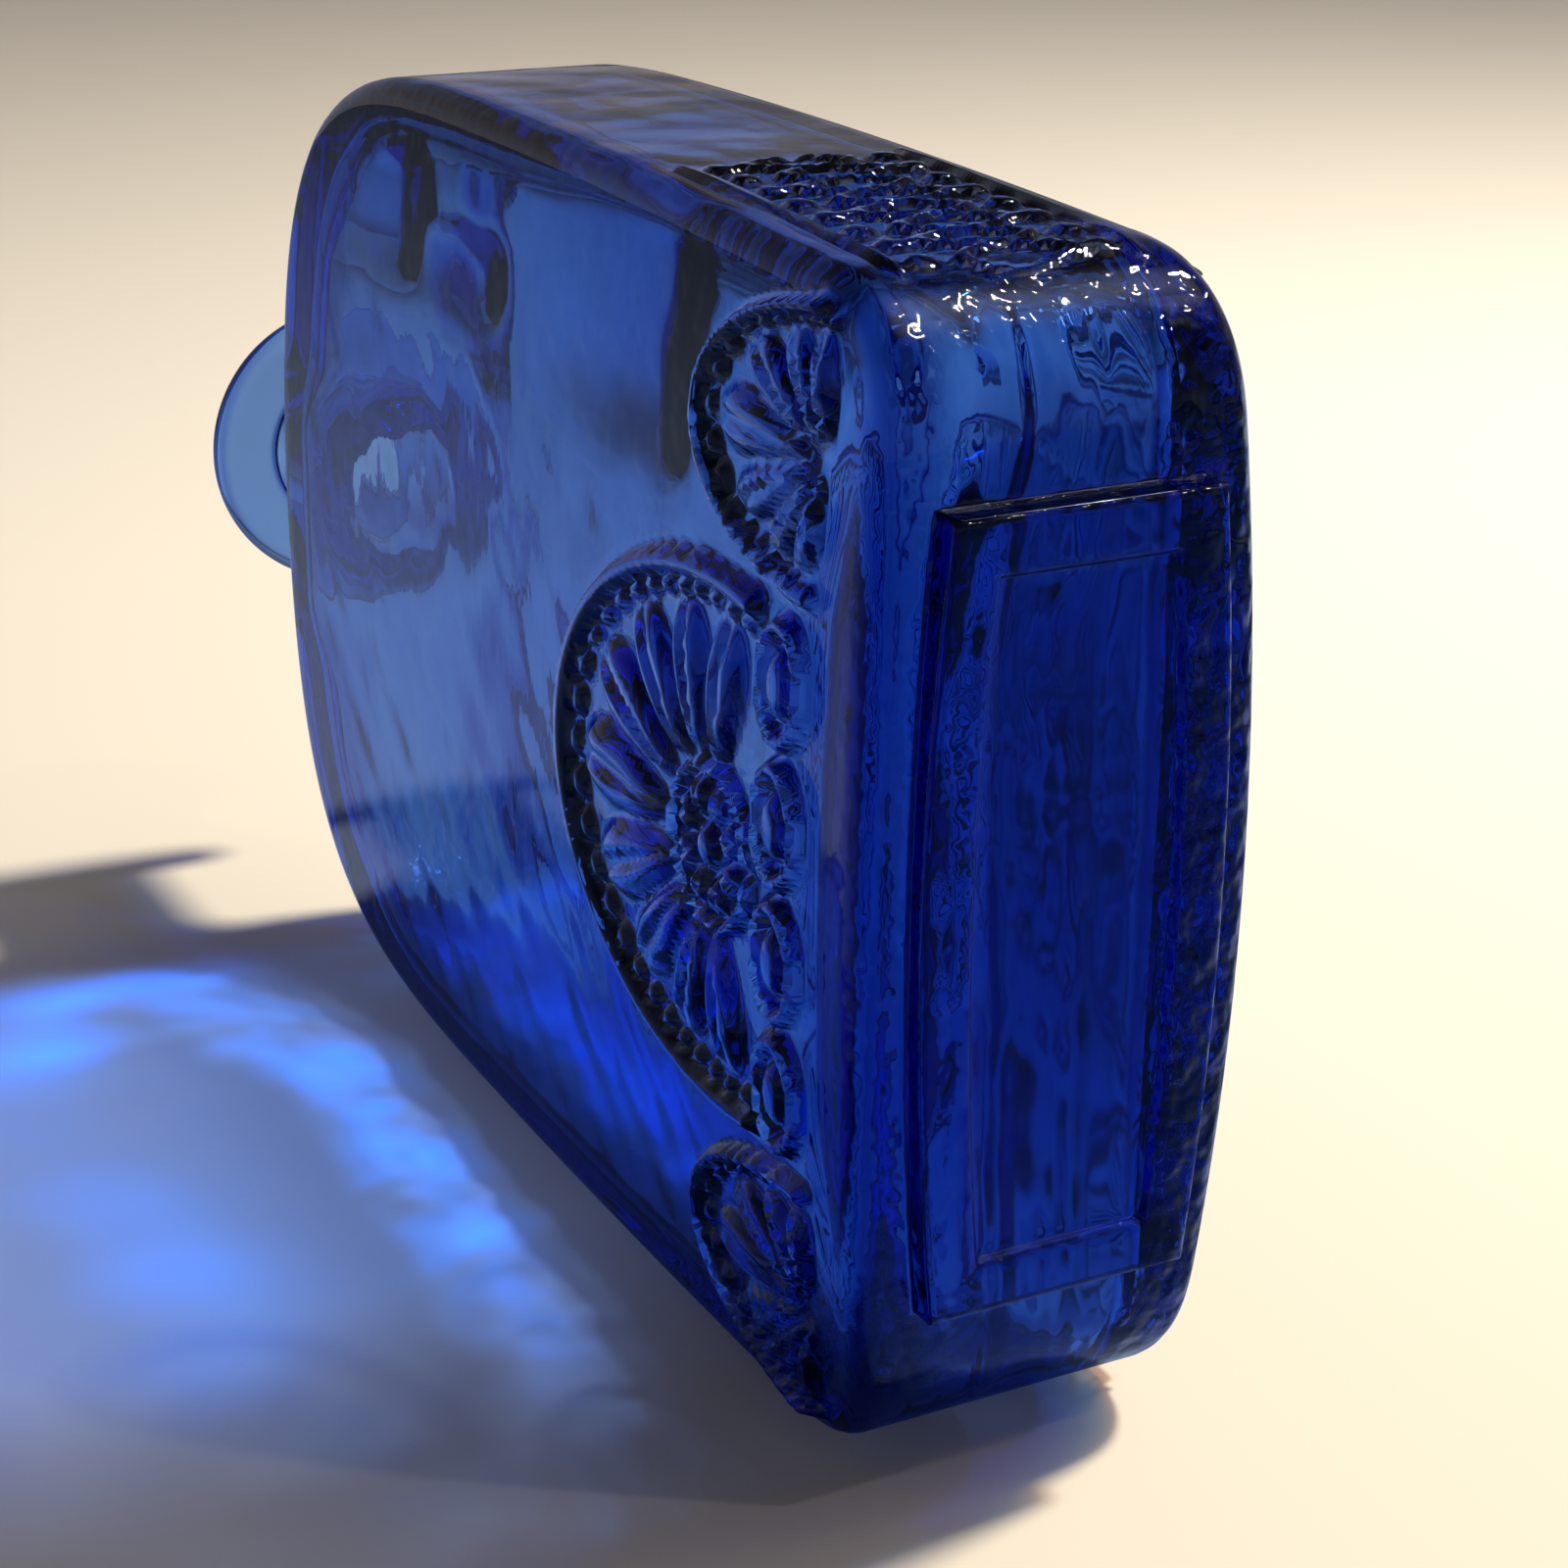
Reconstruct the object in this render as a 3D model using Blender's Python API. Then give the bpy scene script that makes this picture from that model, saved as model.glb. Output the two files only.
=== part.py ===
"""An embossed glass flask that lies on one of its narrow sides.

X runs along the bottle's own axis, with the foot at +X and the mouth at -X.
Y runs through its thickness, with the front broad face at -Y.
Z is up and runs across the broad faces, from the side that the bottle lies on.
The origin is under the middle of the whole bottle. All lengths are metres.

A place on the glass is worked out first as (s, h): s runs from the base plane
towards the mouth, and h runs across the broad face from the bottle's axis.
"""
import math

import bmesh
import bpy

# Body
BODY_LENGTH = 0.196          # from the base plane to the end of the shoulder
BODY_WIDTH = 0.150           # across a broad face where the body is widest
RIM_THICKNESS = 0.0406       # between the broad faces along their outer edges, half way up
FACE_CROWN = 0.0048          # how far each broad face swells at the axis
THICKNESS_TAPER = 0.0019     # added to each half thickness at the base, taken off at the shoulder
SIDE_BOW = 0.0026            # how far a narrow side falls away from its widest place at an end
BASE_CROWN = 0.0035          # how far the base swells at the axis
BASE_CORNER = 0.0195         # size of the corner between the base and a narrow side
SHOULDER_LENGTH = 0.0865     # where the shoulder starts, measured back from its end
RIM_RADIUS = 0.0055          # rounding between a broad face and the sides
WALL = 0.0050                # thickness of the glass
BASE_WALL = 0.0125           # thickness of the glass behind the base
INNER_RIM_RADIUS = 0.0080    # rounding of the hollow's edges
CORNER_EXPONENT = 2.5
SHOULDER_EXPONENT = 4.0
WIDEST_SHARE = 0.60          # of the body's length, from the base
BASE_POINT_SHARES = (0, 0.35, 0.7)
SIDE_POINT_SHARES = (0.25, 0.5, 0.75)
FACE_RING_SHARES = (0.86, 0.62, 0.34)

# Neck and lip
BORE_RADIUS = 0.0100
NECK_RADIUS = 0.0140
NECK_LENGTH = 0.0290         # from the shoulder's end to the lip
NECK_ROOT_RADIUS = 0.0172    # the neck's foot, where it spreads over the shoulder
NECK_ROOT_LENGTH = 0.0070
LIP_RADIUS = 0.0242
LIP_THICKNESS = 0.0050
LIP_ROUND = 0.0022
MOUTH_RADIUS = 0.0118        # where the bore opens out at the lip's face
MOUTH_ROUND = 0.0007

# Foot slab
FOOT_LENGTH = 0.0970         # across the base, along Z
FOOT_THICKNESS = 0.0352      # at the slab's two ends
FOOT_BOW = 0.0028            # how far each long edge swells half way
FOOT_RAISE = 0.0030          # above the highest part of the base
FOOT_BEVEL = 0.0009
FOOT_BORDER = 0.0062         # the raised frame round the recess
RECESS_DEPTH = 0.0013
RECESS_SLOPE = 0.0012

# Relief on the broad faces: a palmette round a rosette, a row of ovals, and two fluted lobes
RELIEF_GROUND = 0.0003       # thickness of the relief between its figures
RELIEF_HEIGHT = 0.0014       # height of its figures above that ground
ROSETTE_RADIUS = 0.0105
ROSETTE_PLACE = 0.0315       # of its centre, from the base plane
PALMETTE_REACH = 0.0465      # from the rosette's centre to the tip of the middle leaf
PALMETTE_HALF = 0.0345       # from the rosette's centre to the tips on either side
OVAL_LENGTH = 0.0158
OVAL_WIDTH = 0.0108
OVAL_PLACE = 0.0146          # of the ovals' centres, from the base plane
OVAL_SPACING = 0.0170
LOBE_START = 0.0085          # of a lobe's centre, from the base plane
LOBE_REACH = 0.0325          # from there to its tip
LOBE_PLACE = 0.0525          # of its centre, from the bottle's axis
LOBE_HALF = 0.0165
LOBE_HINGE = 0.0016          # radius of the plain middle that its flutes leave free
FAN_ROW_SHARES = (0, 0.1, 0.25, 0.42, 0.6, 0.73, 0.81, 0.88, 0.94, 1)
LEAF_PLACE_SHARE = 0.42      # of a leaf's middle, between the fan's inner and outer edges
LEAF_REACH_SHARE = 0.41
LEAF_HALF_SHARE = 0.48       # of the room that each leaf has across
GROOVE_SHARE = 0.15
GROOVE_DEPTH_SHARE = 0.5
BORDER_PLACE_SHARE = 0.95
BORDER_HALF_SHARE = 0.07
ROSETTE_RING_SHARES = (0.16, 0.34, 0.5, 0.7, 0.9, 1)
PETAL_CREST_SHARE = 0.68     # of the rosette's radius
PETAL_REACH_SHARE = 0.32
BOSS_SHARE = 0.30

# Relief on the narrow sides
SCROLL_START = 0.0090
SCROLL_LENGTH = 0.0560
SCROLL_WIDTH = 0.0320
SCROLL_HEIGHT = 0.0010
SCROLL_GROUND = 0.0002
STEM_SWING_SHARE = 0.26      # of the scroll's width, from its middle to a wave's crest
STEM_HALF_SHARE = 0.08
VINE_SWING_SHARE = 0.20
VINE_HALF_SHARE = 0.06
BUD_PLACE_SHARE = 0.36
BUD_HALF_SHARE = 0.09
BUD_LENGTH_SHARE = 0.36      # half a bud's length, of the room that it has along the side

CLEARANCE = 0.0003           # between two regions of the glass that touch
CUT_OVERRUN = 0.0040

PALMETTE_LEAVES = 9
PALMETTE_SPREAD = math.radians(106)
ROSETTE_PETALS = 8
OVAL_COUNT = 4
LOBE_FLUTES = 7
LOBE_SPREAD = math.radians(88)
SCROLL_WAVES = 4
LEAF_COLUMNS = 6             # mesh columns across one leaf or flute
PETAL_COLUMNS = 4
OVAL_COLUMNS = 8
OVAL_ROWS = 6
SCROLL_ROWS = 24
SCROLL_COLUMNS = 16
TURNED_SIDES = 40
ROUNDING_STEPS = 4
CORNER_STEPS = 6
SHOULDER_STEPS = 12
LIP_STEPS = 3
ROOT_STEPS = 4
FOOT_LONG_STEPS = 12
FOOT_SHORT_STEPS = 4

# Each colour is the glass as it looks at that thickness: red, green, blue.
THICK_GLASS = (0.010, 0.035, 0.330)
THIN_GLASS = (0.170, 0.380, 0.700)
GLASS_ROUGHNESS = 0.05

HALF_WIDTH = BODY_WIDTH / 2
AXIS_HEIGHT = HALF_WIDTH
FOOT_FACE = -(BASE_CROWN + FOOT_RAISE)
LIP_START = BODY_LENGTH + NECK_LENGTH
MOUTH = LIP_START + LIP_THICKNESS
BASE_X = (MOUTH + FOOT_FACE) / 2


def half_width(s):
    """Distance from the axis to a narrow side, at s."""
    away_share = s / BODY_LENGTH - WIDEST_SHARE
    return HALF_WIDTH - 4 * SIDE_BOW * away_share ** 2


def half_thickness(s, h):
    """Distance from the mid plane to a broad face, at (s, h)."""
    taper = THICKNESS_TAPER * (1 - 2 * s / BODY_LENGTH)
    crown = FACE_CROWN * (1 - (h / HALF_WIDTH) ** 2)
    return RIM_THICKNESS / 2 + taper + crown


def side_edge(s):
    """Distance from the axis to the body's outline near the base, at s."""
    if s >= BASE_CORNER:
        return half_width(s)
    left_share = (1 - s / BASE_CORNER) ** CORNER_EXPONENT
    return half_width(BASE_CORNER) - BASE_CORNER * (1 - (1 - left_share) ** (1 / CORNER_EXPONENT))


def surface_y(s, h):
    """Distance from the mid plane to the outer skin, at (s, h), also where the rim rounds off."""
    over = min(RIM_RADIUS, max(0, abs(h) - side_edge(s) + RIM_RADIUS))
    return half_thickness(s, h) - RIM_RADIUS + math.sqrt(RIM_RADIUS ** 2 - over ** 2)


def base_swell(h):
    return BASE_CROWN * (1 - (h / HALF_WIDTH) ** 2)


def place(s, h, y):
    """A point of the glass in the object's own frame."""
    return (BASE_X - s, y, AXIS_HEIGHT + h)


def superellipse(angle, exponent):
    across = abs(math.cos(angle)) ** exponent
    along = abs(math.sin(angle)) ** exponent
    radius = (across + along) ** (-1 / exponent)
    return radius * math.cos(angle), radius * math.sin(angle)


def half_outline():
    """The outline's upper half in the mid plane, from the base's middle to the shoulder's end."""
    corner_h = half_width(BASE_CORNER) - BASE_CORNER
    points = [(0, corner_h * share) for share in BASE_POINT_SHARES]
    for step in range(CORNER_STEPS + 1):
        u, v = superellipse(math.pi / 2 * step / CORNER_STEPS, CORNER_EXPONENT)
        points.append((BASE_CORNER * (1 - u), corner_h + BASE_CORNER * v))
    shoulder = BODY_LENGTH - SHOULDER_LENGTH
    for share in SIDE_POINT_SHARES:
        s = BASE_CORNER + share * (shoulder - BASE_CORNER)
        points.append((s, half_width(s)))
    for step in range(SHOULDER_STEPS + 1):
        u, v = superellipse(math.pi / 2 * (1 - step / SHOULDER_STEPS), SHOULDER_EXPONENT)
        points.append((shoulder + SHOULDER_LENGTH * u, half_width(shoulder) * v))
    crowned = []
    for s, h in points:
        swell = base_swell(h) * max(0, 1 - s / BASE_CORNER)
        crowned.append((s - swell, h))
    return crowned


def closed_outline():
    upper = half_outline()
    lower = [(s, -h) for s, h in reversed(upper[1:-1])]
    return upper + lower


def outline_normals(points):
    normals = []
    count = len(points)
    for i in range(count):
        before = points[i - 1]
        after = points[(i + 1) % count]
        ds = after[0] - before[0]
        dh = after[1] - before[1]
        size = math.hypot(ds, dh)
        normals.append((-dh / size, ds / size))
    return normals


def moved(points, normals, distances):
    return [(s + n[0] * d, h + n[1] * d) for (s, h), n, d in zip(points, normals, distances)]


def make_material(name, colour):
    material = bpy.data.materials.new(name)
    material.use_nodes = True
    shader = material.node_tree.nodes["Principled BSDF"]
    shader.inputs["Base Color"].default_value = (*colour, 1)
    shader.inputs["Roughness"].default_value = GLASS_ROUGHNESS
    shader.inputs["Metallic"].default_value = 0
    shader.inputs["Transmission Weight"].default_value = 1
    material.diffuse_color = (*colour, 1)
    return material


def make_object(name, bm, colour):
    """Turns a finished bmesh into a named object with its own material."""
    bmesh.ops.recalc_face_normals(bm, faces=bm.faces)
    mesh = bpy.data.meshes.new(name)
    bm.to_mesh(mesh)
    bm.free()
    mesh.shade_smooth()
    mesh.set_sharp_from_angle(angle=math.radians(35))
    mesh.materials.append(make_material(name + "_glass", colour))
    obj = bpy.data.objects.new(name, mesh)
    bpy.context.scene.collection.objects.link(obj)
    return obj


def add_ring(bm, points):
    return [bm.verts.new(point) for point in points]


def join_rings(bm, first, second):
    count = len(first)
    for i in range(count):
        j = (i + 1) % count
        bm.faces.new((first[i], first[j], second[j], second[i]))


def close_ring(bm, ring, centre):
    tip = bm.verts.new(centre)
    for i in range(len(ring)):
        bm.faces.new((ring[i], ring[(i + 1) % len(ring)], tip))


def rim_rings(points, normals, radius, wall, side):
    """Rings of the side wall, from the mould seam over the rounded rim to the broad face."""
    rings = [[place(s, h, side * CLEARANCE / 2) for s, h in points]]
    for step in range(ROUNDING_STEPS + 1):
        angle = math.pi / 2 * step / ROUNDING_STEPS
        inset = radius * (1 - math.cos(angle))
        drop = radius * (1 - math.sin(angle)) + wall
        ring = moved(points, normals, [-inset] * len(points))
        rings.append([place(s, h, side * (half_thickness(s, h) - drop)) for s, h in ring])
    return rings


def face_rings(edge, wall, side):
    """Rings of a broad face from its edge inwards, and the middle of that face."""
    middle = BODY_LENGTH / 2
    rings = []
    for share in (1, *FACE_RING_SHARES):
        ring = [(middle + share * (s - middle), share * h) for s, h in edge]
        rings.append([place(s, h, side * (half_thickness(s, h) - wall)) for s, h in ring])
    return rings, place(middle, 0, side * (half_thickness(middle, 0) - wall))


def wall_depths(normals):
    """Thickness of the glass inwards from each point of the outline."""
    return [WALL + (BASE_WALL - WALL) * max(0, -n[0]) ** 4 for n in normals]


def skins():
    """The outer and the inner skin: points, normals, rim radius and depth under the surface."""
    outer = closed_outline()
    normals = outline_normals(outer)
    inner = moved(outer, normals, [-depth for depth in wall_depths(normals)])
    return (outer, normals, RIM_RADIUS, 0), (inner, normals, INNER_RIM_RADIUS, WALL)


def seam_widths(normals):
    """How far each point of a broad wall is drawn in, so that its slanted edge clears the side wall."""
    widths = []
    for depth in wall_depths(normals):
        run = depth + INNER_RIM_RADIUS - RIM_RADIUS
        widths.append(CLEARANCE * math.hypot(run, WALL) / WALL)
    return widths


def make_side_wall(name, side):
    """Half of the narrow sides, base and shoulder, from the mould seam to one broad face."""
    bm = bmesh.new()
    chains = []
    for points, normals, radius, wall in skins():
        chain = [add_ring(bm, ring) for ring in rim_rings(points, normals, radius, wall, side)]
        for first, second in zip(chain, chain[1:]):
            join_rings(bm, first, second)
        chains.append(chain)
    outer, inner = chains
    join_rings(bm, outer[0], inner[0])
    join_rings(bm, outer[-1], inner[-1])
    wall = make_object(name, bm, THICK_GLASS)
    cut = wall.modifiers.new("neck_hole", "BOOLEAN")
    cut.operation = "DIFFERENCE"
    cut.solver = "EXACT"
    cut.object = neck_hole_cutter()


def make_face_wall(name, side):
    """One broad wall, whose slanted edge sits in the side wall."""
    bm = bmesh.new()
    edges = []
    for points, normals, radius, wall in skins():
        edge = moved(points, normals, [-radius - width for width in seam_widths(normals)])
        rings, centre = face_rings(edge, wall, side)
        laid = [add_ring(bm, ring) for ring in rings]
        for first, second in zip(laid, laid[1:]):
            join_rings(bm, first, second)
        close_ring(bm, laid[-1], centre)
        edges.append(laid[0])
    join_rings(bm, edges[0], edges[1])
    make_object(name, bm, THICK_GLASS)


def neck_hole_cutter():
    cutter = bpy.data.objects.get("neck_hole_cutter")
    if cutter is None:
        start = BODY_LENGTH - WALL - CUT_OVERRUN
        end = BODY_LENGTH + CUT_OVERRUN
        radius = NECK_RADIUS + CLEARANCE
        profile = ((start, radius), (end, radius))
        bm = turned_solid(profile, capped=True)
        cutter = make_object("neck_hole_cutter", bm, THIN_GLASS)
        cutter.hide_render = True
        cutter.display_type = "WIRE"
    return cutter


def turned_solid(profile, capped=False):
    """A solid turned about the bottle's axis, from (s, radius) points.

    The profile is a closed loop round a bore, or an open line whose ends are capped.
    """
    bm = bmesh.new()
    rings = []
    for s, radius in profile:
        ring = []
        for i in range(TURNED_SIDES):
            angle = math.tau * i / TURNED_SIDES
            ring.append(place(s, radius * math.cos(angle), radius * math.sin(angle)))
        rings.append(add_ring(bm, ring))
    for first, second in zip(rings, rings[1:]):
        join_rings(bm, first, second)
    if capped:
        bm.faces.new(rings[0])
        bm.faces.new(rings[-1])
    else:
        join_rings(bm, rings[-1], rings[0])
    return bm


def make_neck():
    """The neck, from the hollow's end to the lip, with its foot spread on the shoulder."""
    start = BODY_LENGTH - WALL
    seat = BODY_LENGTH + CLEARANCE
    spread = NECK_ROOT_RADIUS - NECK_RADIUS
    profile = [(start, BORE_RADIUS), (start, NECK_RADIUS), (seat, NECK_RADIUS)]
    for step in range(ROOT_STEPS + 1):
        share = step / ROOT_STEPS
        s = seat + share * NECK_ROOT_LENGTH
        profile.append((s, NECK_RADIUS + spread * (1 - share) ** 2))
    end = LIP_START - CLEARANCE / 2
    profile.append((end, NECK_RADIUS))
    profile.append((end, BORE_RADIUS))
    return make_object("neck", turned_solid(profile), THIN_GLASS)


def make_lip():
    """The flared ring round the mouth."""
    start = LIP_START + CLEARANCE / 2
    profile = [(start, BORE_RADIUS), (start, NECK_RADIUS)]
    centre = LIP_RADIUS - LIP_ROUND
    for step in range(LIP_STEPS + 1):
        angle = math.pi / 2 * step / LIP_STEPS
        profile.append((start + LIP_ROUND * (1 - math.cos(angle)), centre + LIP_ROUND * math.sin(angle)))
    for step in range(LIP_STEPS + 1):
        angle = math.pi / 2 * (1 - step / LIP_STEPS)
        profile.append((MOUTH - LIP_ROUND * (1 - math.cos(angle)), centre + LIP_ROUND * math.sin(angle)))
    profile.append((MOUTH, MOUTH_RADIUS + MOUTH_ROUND))
    profile.append((MOUTH - MOUTH_ROUND, MOUTH_RADIUS))
    return make_object("lip", turned_solid(profile), THIN_GLASS)


def foot_loop(inset, x_of_h):
    """A loop of the foot slab, drawn in by inset from the slab's edge."""
    half_length = FOOT_LENGTH / 2
    reach = half_length - inset

    def edge_y(h):
        return FOOT_THICKNESS / 2 + FOOT_BOW * (1 - (h / half_length) ** 2) - inset

    along_shares = [2 * i / FOOT_LONG_STEPS - 1 for i in range(FOOT_LONG_STEPS + 1)]
    across_shares = [2 * i / FOOT_SHORT_STEPS - 1 for i in range(1, FOOT_SHORT_STEPS)]
    places = [(edge_y(reach * share), reach * share) for share in along_shares]
    places += [(-share * edge_y(reach), reach) for share in across_shares]
    places += [(-edge_y(reach * share), -reach * share) for share in along_shares]
    places += [(share * edge_y(reach), -reach) for share in across_shares]
    return [(x_of_h(h), y, AXIS_HEIGHT + h) for y, h in places]


def make_foot():
    """The raised slab on the base, with a framed recess in its outer face."""
    face_x = BASE_X - FOOT_FACE

    def seat_x(h):
        return BASE_X + base_swell(h) + CLEARANCE

    def level(depth):
        return lambda h: face_x - depth

    slope_end = FOOT_BORDER + RECESS_SLOPE
    middle_inset = FOOT_THICKNESS / 2 - RECESS_SLOPE
    bm = bmesh.new()
    loops = [
        foot_loop(slope_end, seat_x),
        foot_loop(0, seat_x),
        foot_loop(0, level(FOOT_BEVEL)),
        foot_loop(FOOT_BEVEL, level(0)),
        foot_loop(FOOT_BORDER, level(0)),
        foot_loop(slope_end, level(RECESS_DEPTH)),
        foot_loop(middle_inset, level(RECESS_DEPTH)),
    ]
    rings = [add_ring(bm, loop) for loop in loops]
    for first, second in zip(rings, rings[1:]):
        join_rings(bm, first, second)
    close_ring(bm, rings[-1], (face_x - RECESS_DEPTH, 0, AXIS_HEIGHT))
    close_ring(bm, rings[0], (seat_x(0), 0, AXIS_HEIGHT))
    return make_object("foot_slab", bm, THICK_GLASS)


def dome(across, along):
    """A rounded swelling: 1 in its middle and 0 where the squares of the two shares add up to one."""
    left = max(0, 1 - across * across - along * along)
    return left * (2 - left)


def ridge(distance, half):
    """A rounded ridge: 1 on its crest and 0 from its half width outwards."""
    return dome(distance / half, 0)


def add_patch(bm, seats, tops):
    """A closed plate from rows of seat points and the rows of top points above them."""
    seat = [add_ring(bm, row) for row in seats]
    top = [add_ring(bm, row) for row in tops]
    last_row = len(top) - 1
    last_column = len(top[0]) - 1
    for grid in (seat, top):
        for i in range(last_row):
            for j in range(last_column):
                bm.faces.new((grid[i][j], grid[i][j + 1], grid[i + 1][j + 1], grid[i + 1][j]))
    for i in (0, last_row):
        for j in range(last_column):
            bm.faces.new((seat[i][j], seat[i][j + 1], top[i][j + 1], top[i][j]))
    for j in (0, last_column):
        for i in range(last_row):
            bm.faces.new((seat[i][j], seat[i + 1][j], top[i + 1][j], top[i][j]))


def make_relief(name, side, v_shares, columns, at, height_share):
    """A plate of ornament on one broad face.

    at(u, v) gives the place (s, h) on the face and height_share(u, v) the figure's height there,
    where u runs across the columns and v along the rows, both from 0 to 1.
    """
    seats = []
    tops = []
    for v in v_shares:
        seat_row = []
        top_row = []
        for column in range(columns + 1):
            u = column / columns
            s, h = at(u, v)
            seat_y = surface_y(s, h) + CLEARANCE
            height = RELIEF_GROUND + RELIEF_HEIGHT * height_share(u, v)
            seat_row.append(place(s, h, side * seat_y))
            top_row.append(place(s, h, side * (seat_y + height)))
        seats.append(seat_row)
        tops.append(top_row)
    bm = bmesh.new()
    add_patch(bm, seats, tops)
    return make_object(name, bm, THICK_GLASS)


def make_fan(name, side, centre, start, reach, half, spread, leaves):
    """Grooved leaves that spread from a centre (s, h) inside a rolled border."""
    def at(u, v):
        angle = spread * (2 * u - 1)
        tip = math.hypot(math.cos(angle) / reach, math.sin(angle) / half) ** -1
        radius = start + v * (tip - start)
        return centre[0] + radius * math.cos(angle), centre[1] + radius * math.sin(angle)

    def height_share(u, v):
        across = u * leaves % 1 - 0.5
        leaf = dome(across / LEAF_HALF_SHARE, (v - LEAF_PLACE_SHARE) / LEAF_REACH_SHARE)
        leaf *= 1 - GROOVE_DEPTH_SHARE * ridge(across, GROOVE_SHARE)
        return max(leaf, ridge(v - BORDER_PLACE_SHARE, BORDER_HALF_SHARE))

    return make_relief(name, side, FAN_ROW_SHARES, leaves * LEAF_COLUMNS, at, height_share)


def make_palmette(name, side):
    centre = (ROSETTE_PLACE, 0)
    start = ROSETTE_RADIUS + CLEARANCE
    return make_fan(name, side, centre, start, PALMETTE_REACH, PALMETTE_HALF, PALMETTE_SPREAD, PALMETTE_LEAVES)


def make_lobe(name, side, end):
    centre = (LOBE_START, end * LOBE_PLACE)
    return make_fan(name, side, centre, LOBE_HINGE, LOBE_REACH, LOBE_HALF, LOBE_SPREAD, LOBE_FLUTES)


def make_rosette(name, side):
    """A flower of rounded petals about a boss."""
    columns = ROSETTE_PETALS * PETAL_COLUMNS
    seat_rings = []
    top_rings = []
    for share in ROSETTE_RING_SHARES:
        seat_row = []
        top_row = []
        for column in range(columns):
            angle = math.tau * column / columns
            s = ROSETTE_PLACE + share * ROSETTE_RADIUS * math.cos(angle)
            h = share * ROSETTE_RADIUS * math.sin(angle)
            petal = ridge(column / PETAL_COLUMNS % 1 - 0.5, 0.5)
            petal *= ridge(share - PETAL_CREST_SHARE, PETAL_REACH_SHARE)
            height = RELIEF_GROUND + RELIEF_HEIGHT * max(petal, ridge(share, BOSS_SHARE))
            seat_y = half_thickness(s, h) + CLEARANCE
            seat_row.append(place(s, h, side * seat_y))
            top_row.append(place(s, h, side * (seat_y + height)))
        seat_rings.append(seat_row)
        top_rings.append(top_row)
    bm = bmesh.new()
    rings = [add_ring(bm, ring) for ring in top_rings + seat_rings[::-1]]
    for first, second in zip(rings, rings[1:]):
        join_rings(bm, first, second)
    seat_y = half_thickness(ROSETTE_PLACE, 0) + CLEARANCE
    close_ring(bm, rings[0], place(ROSETTE_PLACE, 0, side * (seat_y + RELIEF_GROUND + RELIEF_HEIGHT)))
    close_ring(bm, rings[-1], place(ROSETTE_PLACE, 0, side * seat_y))
    return make_object(name, bm, THICK_GLASS)


def make_oval_row(name, side):
    """A row of domed ovals along the base, each in its own cell of the row."""
    def at(u, v):
        h = OVAL_SPACING * OVAL_COUNT * (u - 0.5)
        return OVAL_PLACE + OVAL_WIDTH * (v - 0.5), h

    def height_share(u, v):
        h_share = (u * OVAL_COUNT % 1 - 0.5) * OVAL_SPACING / OVAL_LENGTH
        return ridge(math.hypot(h_share, v - 0.5), 0.5)

    v_shares = [row / OVAL_ROWS for row in range(OVAL_ROWS + 1)]
    return make_relief(name, side, v_shares, OVAL_COUNT * OVAL_COLUMNS, at, height_share)


def scroll_share(s, y):
    """Height of the wave scroll on a narrow side, as a share of its own height."""
    along = (s - SCROLL_START) / SCROLL_LENGTH
    wave = math.sin(math.tau * SCROLL_WAVES * along)
    across = y / SCROLL_WIDTH
    stem = ridge(across - STEM_SWING_SHARE * wave, STEM_HALF_SHARE)
    vine = ridge(across + VINE_SWING_SHARE * wave, VINE_HALF_SHARE)
    bud_along = (2 * SCROLL_WAVES * along % 1 - 0.5) / BUD_LENGTH_SHARE
    bud = dome((abs(across) - BUD_PLACE_SHARE) / BUD_HALF_SHARE, bud_along)
    return max(stem, vine, bud)


def make_side_relief(name, side):
    """The wave scroll on one narrow side, never higher than that side's widest place."""
    seats = []
    tops = []
    length = SCROLL_START + SCROLL_LENGTH - BASE_CORNER
    for row in range(SCROLL_ROWS + 1):
        s = BASE_CORNER + row / SCROLL_ROWS * length
        seat_row = []
        top_row = []
        for column in range(SCROLL_COLUMNS + 1):
            y = SCROLL_WIDTH * (column / SCROLL_COLUMNS - 0.5)
            seat_h = half_width(s) + CLEARANCE
            room = min(SCROLL_HEIGHT, HALF_WIDTH - seat_h - SCROLL_GROUND)
            height = SCROLL_GROUND + room * scroll_share(s, y)
            seat_row.append(place(s, side * seat_h, y))
            top_row.append(place(s, side * (seat_h + height), y))
        seats.append(seat_row)
        tops.append(top_row)
    bm = bmesh.new()
    add_patch(bm, seats, tops)
    return make_object(name, bm, THICK_GLASS)


def build():
    for obj in list(bpy.data.objects):
        bpy.data.objects.remove(obj, do_unlink=True)
    make_foot()
    make_neck()
    make_lip()
    for face, side in (("front", -1), ("back", 1)):
        make_side_wall(face + "_side_wall", side)
        make_face_wall(face + "_face_wall", side)
        make_rosette(face + "_rosette", side)
        make_palmette(face + "_palmette", side)
        make_oval_row(face + "_oval_row", side)
        make_lobe(face + "_upper_lobe", side, 1)
        make_lobe(face + "_lower_lobe", side, -1)
    make_side_relief("upper_side_scroll", 1)
    make_side_relief("lower_side_scroll", -1)


build()
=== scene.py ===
"""The looks of a cobalt glass flask that lies on one of its narrow sides.

X runs along the bottle's own axis, with the foot at +X and the mouth at -X, Y runs
through its thickness and Z is up. Lengths are metres.

A place on the glass is worked out first as (s, h): s runs from the base plane towards
the mouth, and h runs across the broad face from the bottle's axis.
"""

import math

import bmesh
import bpy
import numpy as np
from mathutils import Matrix, Vector


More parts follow.
